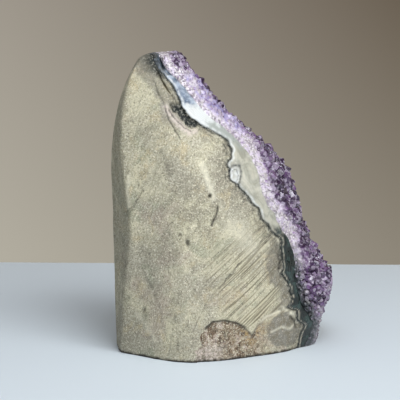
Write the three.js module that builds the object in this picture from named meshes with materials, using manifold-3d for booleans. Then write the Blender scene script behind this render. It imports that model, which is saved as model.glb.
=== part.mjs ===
// Cut-base amethyst geode, standing on its sawn foot.
//
// Frame: millimetres, +Z up, origin at the bottom centre of the bounding box. The crystal face looks
// towards +X and upwards, and the broad ground side of the host rock looks towards -Y.
//
// Three solids: the basalt matrix, the thin agate rind that lines it, and the quartz crust whose
// crystals have grown together into one druse.

import * as THREE from 'three';
import { mergeVertices } from 'three/addons/utils/BufferGeometryUtils.js';
import Module from 'manifold-3d';

const wasm = await Module();
wasm.setup();

// ---- Driving dimensions (mm) --------------------------------------------------------------------

const HEIGHT = 137.5; // top of the rock above the sawn foot
const AROUND = 52; // facets round the rock
const LEVELS = 26; // facets up the rock
const LAYER_GAP = 0.5; // clearance between two layers, measured along X

// Upright guide lines of the rock, each a list of [height, x, y]. Going round the rock anticlockwise
// from the near edge of the narrow back facet, they end at the far edge of that facet.
const GUIDES = {
  // a crisp arris in its upper half
  backFacetNear: [
    [0, -46.9, -19], [30, -44.7, -25], [62, -41.8, -28], [94, -45.7, -24], [118, -44.4, -17],
    [132, -39.5, -11], [137.5, -36, -8],
  ],
  // the part of the ground side that stands furthest forward
  nearRidge: [
    [0, -15, -37], [30, -14, -37.5], [62, -15, -36], [94, -20, -31], [118, -27, -23],
    [132, -29, -15], [137.5, -30, -10],
  ],
  // half way from the ridge to the crystals
  groundSide: [
    [0, 12, -28.5], [30, 12, -29], [62, 6, -30], [94, -5, -26.5], [118, -18, -20],
    [132, -24, -13], [137.5, -25.5, -9],
  ],
  // where the ground side turns into the crust
  nearRim: [
    [0, 36, -11], [30, 40, -14], [62, 28, -19], [84, 17, -19], [94, 10, -18], [118, -11, -13],
    [132, -20, -8], [137.5, -22.5, -6],
  ],
  // middle of the crystal face
  crest: [
    [0, 42, 5], [10, 44, 5], [22, 47.5, 5], [35, 49.5, 5], [50, 43.5, 5], [62, 37, 5], [74, 31, 4],
    [84, 26.5, 4], [94, 16.5, 4], [105, 5, 4], [118, -8, 3], [130, -17.5, 2], [137.5, -21, 1],
  ],
  farRim: [
    [0, 37, 26], [30, 44, 27], [50, 39, 28], [62, 34, 28], [84, 24, 26], [94, 14, 24],
    [118, -10, 17], [132, -20, 10], [137.5, -23, 7],
  ],
  farSide: [
    [0, 6, 39], [30, 7, 40], [62, 3, 39], [94, -10, 34], [118, -22, 25], [132, -28, 15],
    [137.5, -29, 9],
  ],
  // rounded
  farCorner: [
    [0, -34, 31], [30, -36, 32], [62, -37, 31], [94, -38, 27], [118, -37, 18], [132, -35, 10],
    [137.5, -34, 6],
  ],
  backFacetFar: [
    [0, -49.4, -6], [30, -50.2, -4], [62, -50.9, -2], [94, -50.8, -7], [118, -46.4, -8],
    [132, -40.2, -4], [137.5, -36.5, -3],
  ],
};
const FACET_STEPS = 3; // facets across the narrow back facet
const AXIS_TURNS = [0.1, 0.62]; // the rock's middle lies half way between these turns of its outline

// Contact of the basalt with the agate along the near rim, as [height, x].
const BASALT_CONTACT = [
  [0, 36], [5, 38.5], [9, 40], [14, 39], [18, 36.5], [22, 33], [27, 32], [33, 30.5], [40, 27.5],
  [47, 28], [52, 27.5], [58, 23], [66, 17.5], [74, 11.5], [80, 7], [88, 4], [96, 4], [102, -2],
  [107, -11], [111, -16.5], [117, -21.5], [123, -25.5], [129, -29.5], [134, -31.5], [140, -32.5],
];

// Contact of the agate with the quartz along the near rim, as [height, x].
const QUARTZ_CONTACT = [
  [0, 39.5], [5, 41.5], [9, 42.5], [14, 41.5], [18, 39.5], [23, 37], [30, 35.5], [37, 34.5],
  [45, 33.5], [51, 32], [57, 28.5], [66, 25.5], [77, 21.5], [88, 16.5], [98, 9.5], [106, -1],
  [112, -10], [118, -15], [124, -19.5], [130, -26], [134, -28], [140, -29],
];

const BOWL_DEPTH = 7; // how far the contacts sink behind the middle of the crystal face
const CONTACT_HALF_DEPTH = 45; // a contact reaches this far to each side, past the rock
const BOWL_ROWS = 12; // facets of a contact from near to far
const BOWL_CROWDING = 1.5; // over 1 crowds the rows towards the middle, where the narrow top is
const BOWL_LEVELS = 32; // facets of a contact from foot to top
const CONTACT_BOTTOM = -10; // a contact block starts below the foot
const CONTACT_TOP = HEIGHT + 20; // and ends above the crown
const CONTACT_RIGHT = 90; // and reaches past the crystals

// Flats left by the grinding wheel: a point on the flat, the compass direction that it faces
// (0 is +X, 90 is +Y) and how far it looks up, in degrees.
const GROUND_FLATS = [
  { point: [-33, -32.2, 84], facing: 256, up: 7 },
  { point: [-8, -34.6, 44], facing: 283, up: 2 },
  { point: [16, -26.4, 40], facing: 305, up: 3 },
  { point: [-24, -26, 112], facing: 280, up: 20 },
  { point: [-20, 35.6, 46], facing: 104, up: 3 },
  { point: [12, 36.8, 40], facing: 72, up: 4 },
  { point: [-24, 26.5, 108], facing: 88, up: 22 },
  { point: [-48.2, 16, 60], facing: 168, up: 2 },
];
const TOOL_SIZE = 400; // edge of the blocks that cut the rock, larger than the rock

// Crystals of the druse.
const CRYSTAL_SPACING = 7.2; // least distance between two crystal axes
const CRYSTAL_TRIES = 5200; // places that are tried
const CRYSTAL_TURNS = [0.2, 0.8]; // part of the outline that can carry crystals
const CRYSTAL_HEIGHTS = [1.5, HEIGHT - 2];
const CRYSTAL_RADIUS = [3.5, 4.8];
const CRYSTAL_SHOULDER = [-1.2, 0.4]; // height of the prism above the crust
const CRYSTAL_ROOT = 3.4; // length buried in the crust
const CRYSTAL_LEAN = 20; // most that an axis leans away from the surface normal, degrees
const TIP_SLOPE = 0.85; // height of a pyramid over its radius
const TIP_SHIFT = [-0.3, 0.3]; // how far a tip stands off its axis, over its radius
const BARE_MARGIN = 3.5; // width of the broken white edge that carries no points
const NORMAL_TURN = 0.012; // steps over which the skin's outward direction is taken
const NORMAL_RISE = 2;
const SEED = 20;

// ---- Helpers --------------------------------------------------------------------------------------

/** Smooth function of height through rows of [height, ...values]; it returns an array of values. */
function alongHeight(rows) {
  const heights = rows.map((row) => row[0]);
  const values = rows.flatMap((row) => row.slice(1));
  const curve = new THREE.CubicInterpolant(heights, values, rows[0].length - 1, []);
  const last = heights[heights.length - 1];
  return (height) => Array.from(curve.evaluate(THREE.MathUtils.clamp(height, heights[0], last)));
}

/** Turns a closed three.js geometry into a solid. */
function solidFrom(geometry) {
  const bare = geometry.clone();
  bare.deleteAttribute('normal');
  bare.deleteAttribute('uv');
  const merged = mergeVertices(bare, 1e-4);
  return new wasm.Manifold(new wasm.Mesh({
    numProp: 3,
    vertProperties: Float32Array.from(merged.attributes.position.array),
    triVerts: Uint32Array.from(merged.index.array),
  }));
}

/** Turns a solid back into a named mesh with its own material. */
function meshFrom(solid, name, material) {
  const result = solid.getMesh();
  const geometry = new THREE.BufferGeometry();
  geometry.setAttribute('position', new THREE.BufferAttribute(result.vertProperties, 3));
  geometry.setIndex(new THREE.BufferAttribute(result.triVerts, 1));
  geometry.computeVertexNormals();
  const mesh = new THREE.Mesh(geometry, material);
  mesh.name = name;
  return mesh;
}

/** A seeded random number between two limits. */
function randomBetween([low, high]) {
  return THREE.MathUtils.lerp(low, high, THREE.MathUtils.seededRandom());
}

// ---- The rock blank ---------------------------------------------------------------------------------

const guides = Object.values(GUIDES).map(alongHeight);

/** Plan outline of the rock at one height: one smooth curve, closed by the straight back facet. */
function outlineAt(height) {
  const corners = guides.map((guide) => new THREE.Vector3(...guide(height), height));
  const rounded = new THREE.CatmullRomCurve3(corners, false, 'centripetal');
  const facet = new THREE.LineCurve3(corners[corners.length - 1], corners[0]);
  return { rounded, facet };
}

/** Point of the rock's skin; turn runs from 0 to 1 round the outline, the last bit on the back facet. */
function skinPoint(turn, height) {
  const { rounded, facet } = outlineAt(height);
  const share = 1 - FACET_STEPS / AROUND;
  if (turn <= share) {
    return rounded.getPointAt(turn / share);
  }
  return facet.getPoint((turn - share) / (1 - share));
}

/** Middle of the rock at one height. */
function axisPoint(height) {
  const [near, far] = AXIS_TURNS.map((turn) => skinPoint(turn, height));
  return near.lerp(far, 0.5);
}

/** The rock as it was before it was ground: a cylinder whose rings follow the guide lines. */
function blankSolid() {
  const geometry = new THREE.CylinderGeometry(1, 1, HEIGHT, AROUND, LEVELS);
  const places = geometry.attributes.position;
  for (let i = 0; i < places.count; i += 1) {
    const [x, y, z] = [places.getX(i), places.getY(i), places.getZ(i)];
    const height = THREE.MathUtils.clamp(y + HEIGHT / 2, 0, HEIGHT);
    const onAxis = Math.hypot(x, z) < 0.5;
    const angle = Math.atan2(x, z);
    const turn = Math.round((angle / (2 * Math.PI)) * AROUND + AROUND) % AROUND / AROUND;
    const point = onAxis ? axisPoint(height) : skinPoint(turn, height);
    places.setXYZ(i, point.x, point.y, height);
  }
  return solidFrom(geometry);
}

/** A block whose lower face is one ground flat, to be taken off the rock. */
function grindingBlock({ point, facing, up }) {
  const block = new THREE.BoxGeometry(TOOL_SIZE, TOOL_SIZE, TOOL_SIZE);
  block.translate(TOOL_SIZE / 2, 0, 0);
  block.rotateY(-THREE.MathUtils.degToRad(up));
  block.rotateZ(THREE.MathUtils.degToRad(facing));
  block.translate(...point);
  return solidFrom(block);
}

/** The ground rock, without crystals. */
function groundBlank() {
  return GROUND_FLATS.reduce((solid, flat) => solid.subtract(grindingBlock(flat)), blankSolid());
}

// ---- The layers ---------------------------------------------------------------------------------------

const nearRim = alongHeight(GUIDES.nearRim);
const farRim = alongHeight(GUIDES.farRim);

/** How far a contact lies behind its rims at a place in the rock. */
function bowlAt(y, height) {
  const [near, far] = [nearRim(height)[1], farRim(height)[1]];
  const across = THREE.MathUtils.clamp((2 * y - near - far) / (far - near), -1, 1);
  return BOWL_DEPTH * (1 - across * across) * (far - near) / (farRim(0)[1] - nearRim(0)[1]);
}

/** Everything on the crystal side of a contact, moved by a clearance along X. */
function beyondContact(rows, clearance) {
  const contact = alongHeight(rows);
  const tall = CONTACT_TOP - CONTACT_BOTTOM;
  const slab = new THREE.BoxGeometry(1, 2, tall, 1, BOWL_ROWS, BOWL_LEVELS);
  const places = slab.attributes.position;
  for (let i = 0; i < places.count; i += 1) {
    const row = places.getY(i);
    const y = Math.sign(row) * Math.abs(row) ** BOWL_CROWDING * CONTACT_HALF_DEPTH;
    const z = places.getZ(i) + (CONTACT_TOP + CONTACT_BOTTOM) / 2;
    const left = contact(z)[0] - bowlAt(y, THREE.MathUtils.clamp(z, 0, HEIGHT)) + clearance;
    places.setXYZ(i, places.getX(i) < 0 ? left : CONTACT_RIGHT, y, z);
  }
  return solidFrom(slab);
}

// ---- The crystals -----------------------------------------------------------------------------------

/** One quartz point with six sides, growing along +Z from its buried root. */
function crystalGeometry(radius, shoulder) {
  const tip = radius * TIP_SLOPE;
  const geometry = new THREE.ConeGeometry(radius, 2, 6, 2);
  const places = geometry.attributes.position;
  const leanX = randomBetween(TIP_SHIFT) * radius;
  const leanY = randomBetween(TIP_SHIFT) * radius;
  for (let i = 0; i < places.count; i += 1) {
    const level = Math.round(places.getY(i)) + 1;
    const wide = level === 1 ? 2 : 1;
    const [x, z] = [places.getX(i) * wide, places.getZ(i) * wide];
    const atTip = level === 2 ? 1 : 0;
    const height = [-CRYSTAL_ROOT, shoulder, shoulder + tip][level];
    places.setXYZ(i, x + leanX * atTip, height, z + leanY * atTip);
  }
  geometry.rotateX(Math.PI / 2);
  return geometry;
}

/** Outward direction of the rock's skin. */
function skinNormal(turn, height) {
  const along = skinPoint(turn + NORMAL_TURN, height).sub(skinPoint(turn - NORMAL_TURN, height));
  const up = skinPoint(turn, height + NORMAL_RISE).sub(skinPoint(turn, height - NORMAL_RISE));
  return along.cross(up).normalize();
}

/** Places for crystals on the crust, none nearer than the spacing, as { point, normal }. */
function crystalPlaces() {
  const contact = alongHeight(QUARTZ_CONTACT);
  const found = [];
  for (let i = 0; i < CRYSTAL_TRIES; i += 1) {
    const turn = randomBetween(CRYSTAL_TURNS);
    const height = randomBetween(CRYSTAL_HEIGHTS);
    const point = skinPoint(turn, height);
    const edge = contact(height)[0] - bowlAt(point.y, height) + BARE_MARGIN;
    const free = found.every((other) => other.point.distanceTo(point) > CRYSTAL_SPACING);
    if (point.x > edge && free) {
      found.push({ point, normal: skinNormal(turn, height) });
    }
  }
  return found;
}

/** All the quartz points, joined. */
function crystalSolid() {
  const solids = crystalPlaces().map(({ point, normal }) => {
    const geometry = crystalGeometry(randomBetween(CRYSTAL_RADIUS), randomBetween(CRYSTAL_SHOULDER));
    const lean = THREE.MathUtils.degToRad(CRYSTAL_LEAN);
    const axis = normal.clone();
    axis.applyAxisAngle(new THREE.Vector3(0, 1, 0), randomBetween([-lean, lean]));
    axis.applyAxisAngle(new THREE.Vector3(0, 0, 1), randomBetween([-lean, lean]));
    const turn = new THREE.Quaternion().setFromUnitVectors(new THREE.Vector3(0, 0, 1), axis);
    geometry.rotateZ(randomBetween([0, Math.PI / 3]));
    geometry.applyQuaternion(turn);
    geometry.translate(point.x, point.y, point.z);
    return solidFrom(geometry);
  });
  return solids.reduce((all, one) => all.add(one));
}

/** A block that holds everything above the sawn foot. */
function aboveFoot() {
  const block = new THREE.BoxGeometry(TOOL_SIZE, TOOL_SIZE, TOOL_SIZE);
  block.translate(0, 0, TOOL_SIZE / 2);
  return solidFrom(block);
}

// ---- Materials ----------------------------------------------------------------------------------------

const basaltFinish = new THREE.MeshStandardMaterial({ color: 0xaaa68e, roughness: 0.85, metalness: 0 });
const agateFinish = new THREE.MeshStandardMaterial({ color: 0xc3c6c4, roughness: 0.35, metalness: 0 });
const amethystFinish = new THREE.MeshStandardMaterial({ color: 0x6c5086, roughness: 0.12, metalness: 0 });

// ---- Assembly -------------------------------------------------------------------------------------------

THREE.MathUtils.seededRandom(SEED);
const ground = groundBlank();
const agateSide = beyondContact(BASALT_CONTACT, 0);
const agateStart = beyondContact(BASALT_CONTACT, LAYER_GAP);
const quartzSide = beyondContact(QUARTZ_CONTACT, 0);
const quartzStart = beyondContact(QUARTZ_CONTACT, LAYER_GAP);

const basalt = ground.subtract(agateSide);
const agate = ground.intersect(agateStart).subtract(quartzSide);
const druse = ground.add(crystalSolid()).intersect(quartzStart).intersect(aboveFoot());

const geode = new THREE.Group();
geode.add(meshFrom(basalt, 'basalt_matrix', basaltFinish));
geode.add(meshFrom(agate, 'agate_rind', agateFinish));
geode.add(meshFrom(druse, 'amethyst_crystals', amethystFinish));

const box = new THREE.Box3().setFromObject(geode);
const middle = box.getCenter(new THREE.Vector3());
geode.position.set(-middle.x, -middle.y, -box.min.z);

export default geode;
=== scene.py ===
"""Looks of a standing cut-base amethyst geode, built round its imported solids.

The stone has three layers that the ground side shows edge-on: the basalt matrix, the thin agate rind
and the quartz crust with its amethyst points. Their outer skin and their contacts are read from the
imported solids, roughened in mesh code, cut apart again and dressed.

Lengths in this script are millimetres; meshes are written in metres. +Z is up, +X is the crystal side
and -Y the broad ground side.
"""

from __future__ import annotations

import logging
import math
from collections.abc import Iterable, Sequence
from dataclasses import dataclass, field
from enum import Enum

import bmesh
import bpy
import numpy as np
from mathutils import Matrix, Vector
from mathutils.bvhtree import BVHTree


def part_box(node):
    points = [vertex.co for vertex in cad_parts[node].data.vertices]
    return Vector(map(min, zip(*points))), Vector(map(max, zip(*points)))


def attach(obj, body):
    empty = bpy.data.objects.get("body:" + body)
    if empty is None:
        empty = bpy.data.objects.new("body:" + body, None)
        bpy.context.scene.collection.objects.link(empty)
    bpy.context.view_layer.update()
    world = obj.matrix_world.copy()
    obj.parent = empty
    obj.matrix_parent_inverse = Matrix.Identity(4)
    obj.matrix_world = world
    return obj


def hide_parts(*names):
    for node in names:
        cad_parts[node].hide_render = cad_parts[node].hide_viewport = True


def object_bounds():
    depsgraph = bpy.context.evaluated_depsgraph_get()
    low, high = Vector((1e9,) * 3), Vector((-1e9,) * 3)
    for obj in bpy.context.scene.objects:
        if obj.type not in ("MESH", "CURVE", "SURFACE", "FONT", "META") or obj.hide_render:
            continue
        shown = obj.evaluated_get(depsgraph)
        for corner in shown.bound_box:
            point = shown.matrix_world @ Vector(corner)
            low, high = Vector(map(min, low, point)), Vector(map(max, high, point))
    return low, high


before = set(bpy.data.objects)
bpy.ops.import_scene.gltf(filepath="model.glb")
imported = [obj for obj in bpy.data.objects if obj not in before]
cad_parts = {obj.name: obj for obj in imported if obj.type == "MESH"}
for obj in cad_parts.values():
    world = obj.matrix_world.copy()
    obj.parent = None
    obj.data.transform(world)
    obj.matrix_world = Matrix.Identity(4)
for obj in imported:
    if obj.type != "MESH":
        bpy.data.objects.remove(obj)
CAD_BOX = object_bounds()

MM = 0.001
BODY = "root"
SLIVER = 0.001
BOX_LOW, BOX_HIGH = (np.array(corner) / MM for corner in CAD_BOX)
log = logging.getLogger("geode")

Array = np.ndarray
Piece = bpy.types.Object
Material = bpy.types.Material
Socket = bpy.types.NodeSocket
Place = tuple[float, float, float]
Colour = tuple[float, float, float]
Span = tuple[float, float]
Line = tuple[Span, ...]


class Layer(Enum):
    """The layers of the stone; each value is the name of its solid."""

    ROCK = "basalt_matrix"
    RIND = "agate_rind"
    CRUST = "amethyst_crystals"


class Habit(Enum):
    """How a quartz point has grown."""

    POINTED = "pointed"
    STUBBY = "stubby"
    BROKEN = "broken"


# ---- Numbers and fields ----


class GrainNoise:
    """Seeded gradient noise on points in space."""

    LATTICE = 256
    GAIN = 1.6
    OCTAVE_SHIFT = 17.3

    def __init__(self, seed: int) -> None:
        """Draws the lattice directions.

        Args:
            seed: Start of the random numbers.
        """
        rng = np.random.default_rng(seed)
        self.order = np.tile(rng.permutation(self.LATTICE), 3)
        directions = rng.normal(size=(self.LATTICE, 3))
        self.slopes = directions / np.linalg.norm(directions, axis=1, keepdims=True)

    def at(self, points: Array, size: float) -> Array:
        """Noise of one grain size.

        Args:
            points: Places, one row each, in millimetres.
            size: Length of one lattice cell in millimetres.

        Returns:
            One value a point, about -1 to 1.
        """
        scaled = points / size
        cell = np.floor(scaled).astype(int)
        inside = scaled - cell
        fade = inside ** 3 * (inside * (inside * 6 - 15) + 10)
        total = np.zeros(len(points))
        for corner in np.ndindex(2, 2, 2):
            offset = np.array(corner)
            key = (cell + offset) % self.LATTICE
            index = self.order[self.order[self.order[key[:, 0]] + key[:, 1]] + key[:, 2]]
            slope = np.einsum("ij,ij->i", self.slopes[index], inside - offset)
            weight = np.prod(np.where(offset == 1, fade, 1 - fade), axis=1)
            total += slope * weight
        return total * self.GAIN

    def layered(self, points: Array, size: float, octaves: int, keep: float = 0.5) -> Array:
        """Noise of several grain sizes, each half the last.

        Args:
            points: Places in millimetres.
            size: Largest cell in millimetres.
            octaves: How many sizes are added.
            keep: Strength of each size over the one before.

        Returns:
            One value a point, about -1 to 1.
        """
        total = np.zeros(len(points))
        strength = 1.0
        reach = 0.0
        for octave in range(octaves):
            total += strength * self.at(points + self.OCTAVE_SHIFT * octave, size / 2 ** octave)
            reach += strength
            strength *= keep
        return total / reach


def held(value: Array) -> Array:
    """Holds values between 0 and 1."""
    return np.clip(value, 0, 1)


def eased(low: float, high: float, value: Array) -> Array:
    """Eases from 0 at low to 1 at high."""
    t = held((value - low) / (high - low))
    return t * t * (3 - 2 * t)


def bell(distance: Array, width: float) -> Array:
    """A bell curve that is 1 at no distance."""
    return np.exp(-(distance / width) ** 2)


def blurred(grid: Array, steps: float, axis: int, wrap: bool) -> Array:
    """Blurs a grid along one axis.

    Args:
        grid: Values on rows and columns.
        steps: Width of the blur in grid steps.
        axis: Axis that is blurred.
        wrap: Whether the axis closes on itself; an open axis keeps its slope at the ends.

    Returns:
        The blurred grid, of the same shape.
    """
    reach = int(3 * steps) + 1
    kernel = np.exp(-0.5 * (np.arange(-reach, reach + 1) / steps) ** 2)
    kernel /= kernel.sum()
    rows = np.moveaxis(grid, axis, 0)
    if wrap:
        padded = np.concatenate([rows[-reach:], rows, rows[:reach]])
    else:
        head = 2 * rows[:1] - rows[1:reach + 1][::-1]
        tail = 2 * rows[-1:] - rows[-reach - 1:-1][::-1]
        padded = np.concatenate([head, rows, tail])
    result = sum(k * padded[i:i + len(rows)] for i, k in enumerate(kernel))
    return np.moveaxis(result, 0, axis)


def path_distance(points: Array, path: Line) -> Array:
    """Distance from points to a broken line.

    Args:
        points: Places as (x, z) rows.
        path: Corners of the line as (x, z).

    Returns:
        The shortest distance of each point.
    """
    best = np.full(len(points), np.inf)
    for start, end in zip(path[:-1], path[1:]):
        a, b = np.array(start, float), np.array(end, float)
        along = held((points - a) @ (b - a) / max((b - a) @ (b - a), 1e-9))
        best = np.minimum(best, np.linalg.norm(points - a - along[:, None] * (b - a), axis=1))
    return best


# ---- Solids ----


def placed(name: str, data: bpy.types.ID) -> Piece:
    """Makes an object and puts it into the scene.

    Args:
        name: Name of the object.
        data: Its mesh, lamp or camera.

    Returns:
        The object.
    """
    thing = bpy.data.objects.new(name, data)
    bpy.context.scene.collection.objects.link(thing)
    return thing


@dataclass
class Solid:
    """A closed mesh in millimetres."""

    points: Array
    faces: list[tuple[int, ...]]

    def to_object(self, name: str) -> Piece:
        """Writes the solid as a Blender object in metres.

        Args:
            name: Name of the object.

        Returns:
            The linked object.
        """
        mesh = bpy.data.meshes.new(name)
        mesh.from_pydata((self.points * MM).tolist(), [], self.faces)
        mesh.validate()
        return placed(name, mesh)


def mesh_points(piece: Piece) -> Array:
    """The vertices of a piece in millimetres.

    Args:
        piece: The piece to read.

    Returns:
        One row a vertex.
    """
    flat = np.zeros(len(piece.data.vertices) * 3, np.float32)
    piece.data.vertices.foreach_get("co", flat)
    return flat.reshape(-1, 3).astype(float) / MM


def drop_crumbs(piece: Piece) -> None:
    """Closes up faces without area and drops all but the largest connected part of a piece.

    Args:
        piece: The piece that is cleaned.
    """
    shape = bmesh.new()
    shape.from_mesh(piece.data)
    bmesh.ops.dissolve_degenerate(shape, dist=SLIVER * MM, edges=shape.edges)
    loose = set(shape.verts)
    parts: list[list[bmesh.types.BMVert]] = []
    while loose:
        part = [loose.pop()]
        for vert in part:
            for edge in vert.link_edges:
                other = edge.other_vert(vert)
                if other in loose:
                    loose.remove(other)
                    part.append(other)
        parts.append(part)
    parts.sort(key=len)
    crumbs = [vert for part in parts[:-1] for vert in part]
    bmesh.ops.delete(shape, geom=crumbs, context="VERTS")
    shape.to_mesh(piece.data)
    shape.free()
    log.info("%s: %d crumbs dropped", piece.name, len(parts) - 1)


def boolean(piece: Piece, tool: Piece, operation: str) -> None:
    """Cuts or joins a closed piece with a closed tool and takes the tool away.

    Args:
        piece: The object that is changed.
        tool: The object that cuts or is added.
        operation: INTERSECT, DIFFERENCE or UNION.
    """
    step = piece.modifiers.new("cut", "BOOLEAN")
    step.operation = operation
    step.solver = "MANIFOLD"
    step.object = tool
    bpy.context.view_layer.update()
    shaped = bpy.data.meshes.new_from_object(piece.evaluated_get(bpy.context.evaluated_depsgraph_get()))
    piece.modifiers.clear()
    old = piece.data
    piece.data = shaped
    bpy.data.meshes.remove(old)
    bpy.data.objects.remove(tool)


def store(piece: Piece, domain: str = "POINT", **named: Array) -> None:
    """Stores numbers by name, one a vertex or a face, for the finish to read.

    Args:
        piece: The piece.
        domain: POINT for one number a vertex, FACE for one a face.
        named: The numbers by name.
    """
    for name, values in named.items():
        layer = piece.data.attributes.new(name, "FLOAT", domain)
        layer.data.foreach_set("value", values.astype(np.float32))


def dress(piece: Piece, material: Material, smooth: bool) -> None:
    """Gives a piece its finish and its shading.

    Args:
        piece: The piece.
        material: Its only finish.
        smooth: Whether the shading is smooth; otherwise each face is flat.
    """
    piece.data.materials.clear()
    piece.data.materials.append(material)
    (piece.data.shade_smooth if smooth else piece.data.shade_flat)()


def tree_of(layers: Iterable[Layer]) -> BVHTree:
    """A ray-casting tree of some layers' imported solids, in millimetres.

    Args:
        layers: The layers whose solids are taken.

    Returns:
        The tree.
    """
    points: list[Vector] = []
    polygons: list[list[int]] = []
    for layer in layers:
        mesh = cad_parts[layer.value].data
        base = len(points)
        points.extend(v.co / MM for v in mesh.vertices)
        polygons.extend([base + i for i in p.vertices] for p in mesh.polygons)
    return BVHTree.FromPolygons(points, polygons)


# ---- The stone's skin and contacts ----


@dataclass
class StoneSkin:
    """The stone's outer skin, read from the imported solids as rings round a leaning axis."""

    columns: int = 460
    rows: int = 250
    near_crowding: float = 0.35
    skin_blur: float = 4.0
    arris_blur: float = 1.1
    arris_range: Span = (0.12, 0.35)
    arris_spread: float = 2
    arris_gain: float = 1.6
    crust_blur: float = 3
    bed_window: int = 8
    ray_start: float = 150.0
    end_inset: float = 0.25
    foot_slice: float = 2
    crown_slice: float = 0.5
    crust_lift: Line = (
        (0.0, 3.2), (10.0, 2.6), (15.0, 2.3), (22.0, 3.6), (28.0, 3.8), (34.0, 2.2), (40.0, -1.4),
        (45.0, -2.9), (52.0, -3.1), (57.0, -2.4), (61.0, -1.2), (66.0, -0.2), (75.0, 0.2), (81.0, 1.4),
        (88.0, 1.2), (97.0, 1.6), (106.0, 1.2), (137.0, 1.4))
    crown_radius: float = 2.6
    crown_flat: float = 0.35
    crown_end: float = 0.97
    foot_bevel: float = 0.35

    def __post_init__(self) -> None:
        """Casts the rays and smooths what they find."""
        rock_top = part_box(Layer.ROCK.value)[1][2] / MM
        self.height = min(BOX_HIGH[2], rock_top)
        turns = np.linspace(0, 2 * math.pi, self.columns, endpoint=False)
        near = 1.5 * math.pi
        self.angles = turns - self.near_crowding * np.sin(turns - near)
        self.levels = np.linspace(0, self.height, self.rows)
        self.axis_foot, self.axis_top = self._axis()
        self.radii = self._smoothed(*self._cast())

    def _axis(self) -> tuple[Array, Array]:
        """The middle of the foot and the middle of the crown, as (x, y).

        Returns:
            The two middles, foot first.
        """
        solids = [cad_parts[layer.value].data for layer in Layer]
        points = np.array([v.co for solid in solids for v in solid.vertices]) / MM
        foot = points[points[:, 2] < self.foot_slice][:, :2]
        crown = points[points[:, 2] > self.height - self.crown_slice][:, :2]
        return (foot.min(0) + foot.max(0)) / 2, (crown.min(0) + crown.max(0)) / 2

    def axis_at(self, heights: Array) -> Array:
        """The axis as (x, y) at some heights."""
        share = (heights / self.height)[:, None]
        return self.axis_foot * (1 - share) + self.axis_top * share

    def _cast(self) -> tuple[Array, Array]:
        """Radii of the skin and whether each is on the crust.

        Returns:
            Radii, and whether each is on the crust, both rows by columns.
        """
        whole = tree_of(Layer)
        crust_start = sum(len(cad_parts[n.value].data.polygons) for n in (Layer.ROCK, Layer.RIND))
        radii = np.zeros((self.rows, self.columns))
        on_crust = np.zeros((self.rows, self.columns), bool)
        for row, level in enumerate(np.clip(self.levels, self.end_inset, self.height - self.end_inset)):
            x, y = self.axis_at(np.array([level]))[0]
            for column, angle in enumerate(self.angles):
                out = Vector((math.cos(angle), math.sin(angle), 0))
                start = Vector((x, y, level)) + out * self.ray_start
                hit, _, index, distance = whole.ray_cast(start, -out)
                radii[row, column] = self.ray_start - distance if hit else np.nan
                on_crust[row, column] = bool(hit) and index >= crust_start
        return radii, on_crust

    def _smoothed(self, radii: Array, on_crust: Array) -> Array:
        """Takes the coarse points off the crust and the small facets off the skin.

        Args:
            radii: Radii as cast, rows by columns.
            on_crust: Whether each radius is on the crust.

        Returns:
            The smoothed radii.
        """
        bed = self._window(self._window(radii, np.minimum), np.maximum)
        share = held(self._blurred(on_crust.astype(float), self.crust_blur))
        lift = np.interp(self.levels, *np.array(self.crust_lift).T)[:, None]
        mixed = radii * (1 - share) + (bed + lift) * share
        once = self._blurred(mixed, self.skin_blur)
        soft = once + self._blurred(mixed - once, self.skin_blur)
        crisp = self._blurred(mixed, self.arris_blur)
        arris = eased(*self.arris_range, np.abs(crisp - soft)) * (1 - share)
        arris = held(self.arris_gain * self._blurred(arris, self.arris_spread))
        return soft * (1 - arris) + crisp * arris

    @staticmethod
    def _blurred(grid: Array, steps: float) -> Array:
        """Blurs radii along the height and round the stone."""
        return blurred(blurred(grid, steps, 0, False), steps, 1, True)

    def _window(self, grid: Array, choose: np.ufunc) -> Array:
        """The lowest or highest radius in a window round each place.

        Args:
            grid: Radii, rows by columns.
            choose: Picks the lower or the higher of two grids.

        Returns:
            The chosen radii.
        """
        result = grid
        for axis, wrap in ((0, False), (1, True)):
            chosen = result.copy()
            for shift in range(-self.bed_window, self.bed_window + 1):
                moved = np.roll(result, shift, axis)
                if not wrap and shift:
                    edge = slice(0, shift) if shift > 0 else slice(shift, None)
                    moved[edge] = result[edge]
                chosen = choose(chosen, moved)
            result = chosen
        return result

    def grid(self) -> Array:
        """The skin as points, rows by columns by three.

        Returns:
            The points.
        """
        centre = self.axis_at(self.levels)
        out = np.stack([np.cos(self.angles), np.sin(self.angles)], 1)
        flat = centre[:, None, :] + self.radii[:, :, None] * out[None]
        heights = np.broadcast_to(self.levels[:, None, None], (self.rows, self.columns, 1))
        return np.concatenate([flat, heights], 2)

    @staticmethod
    def normals(grid: Array) -> Array:
        """Outward directions on a grid of skin points.

        Args:
            grid: Skin points, rows by columns by three.

        Returns:
            Unit directions, of the same shape.
        """
        along = np.roll(grid, -1, 1) - np.roll(grid, 1, 1)
        up = np.gradient(grid, axis=0)
        normal = np.cross(along, up)
        return normal / np.linalg.norm(normal, axis=2, keepdims=True)

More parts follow.
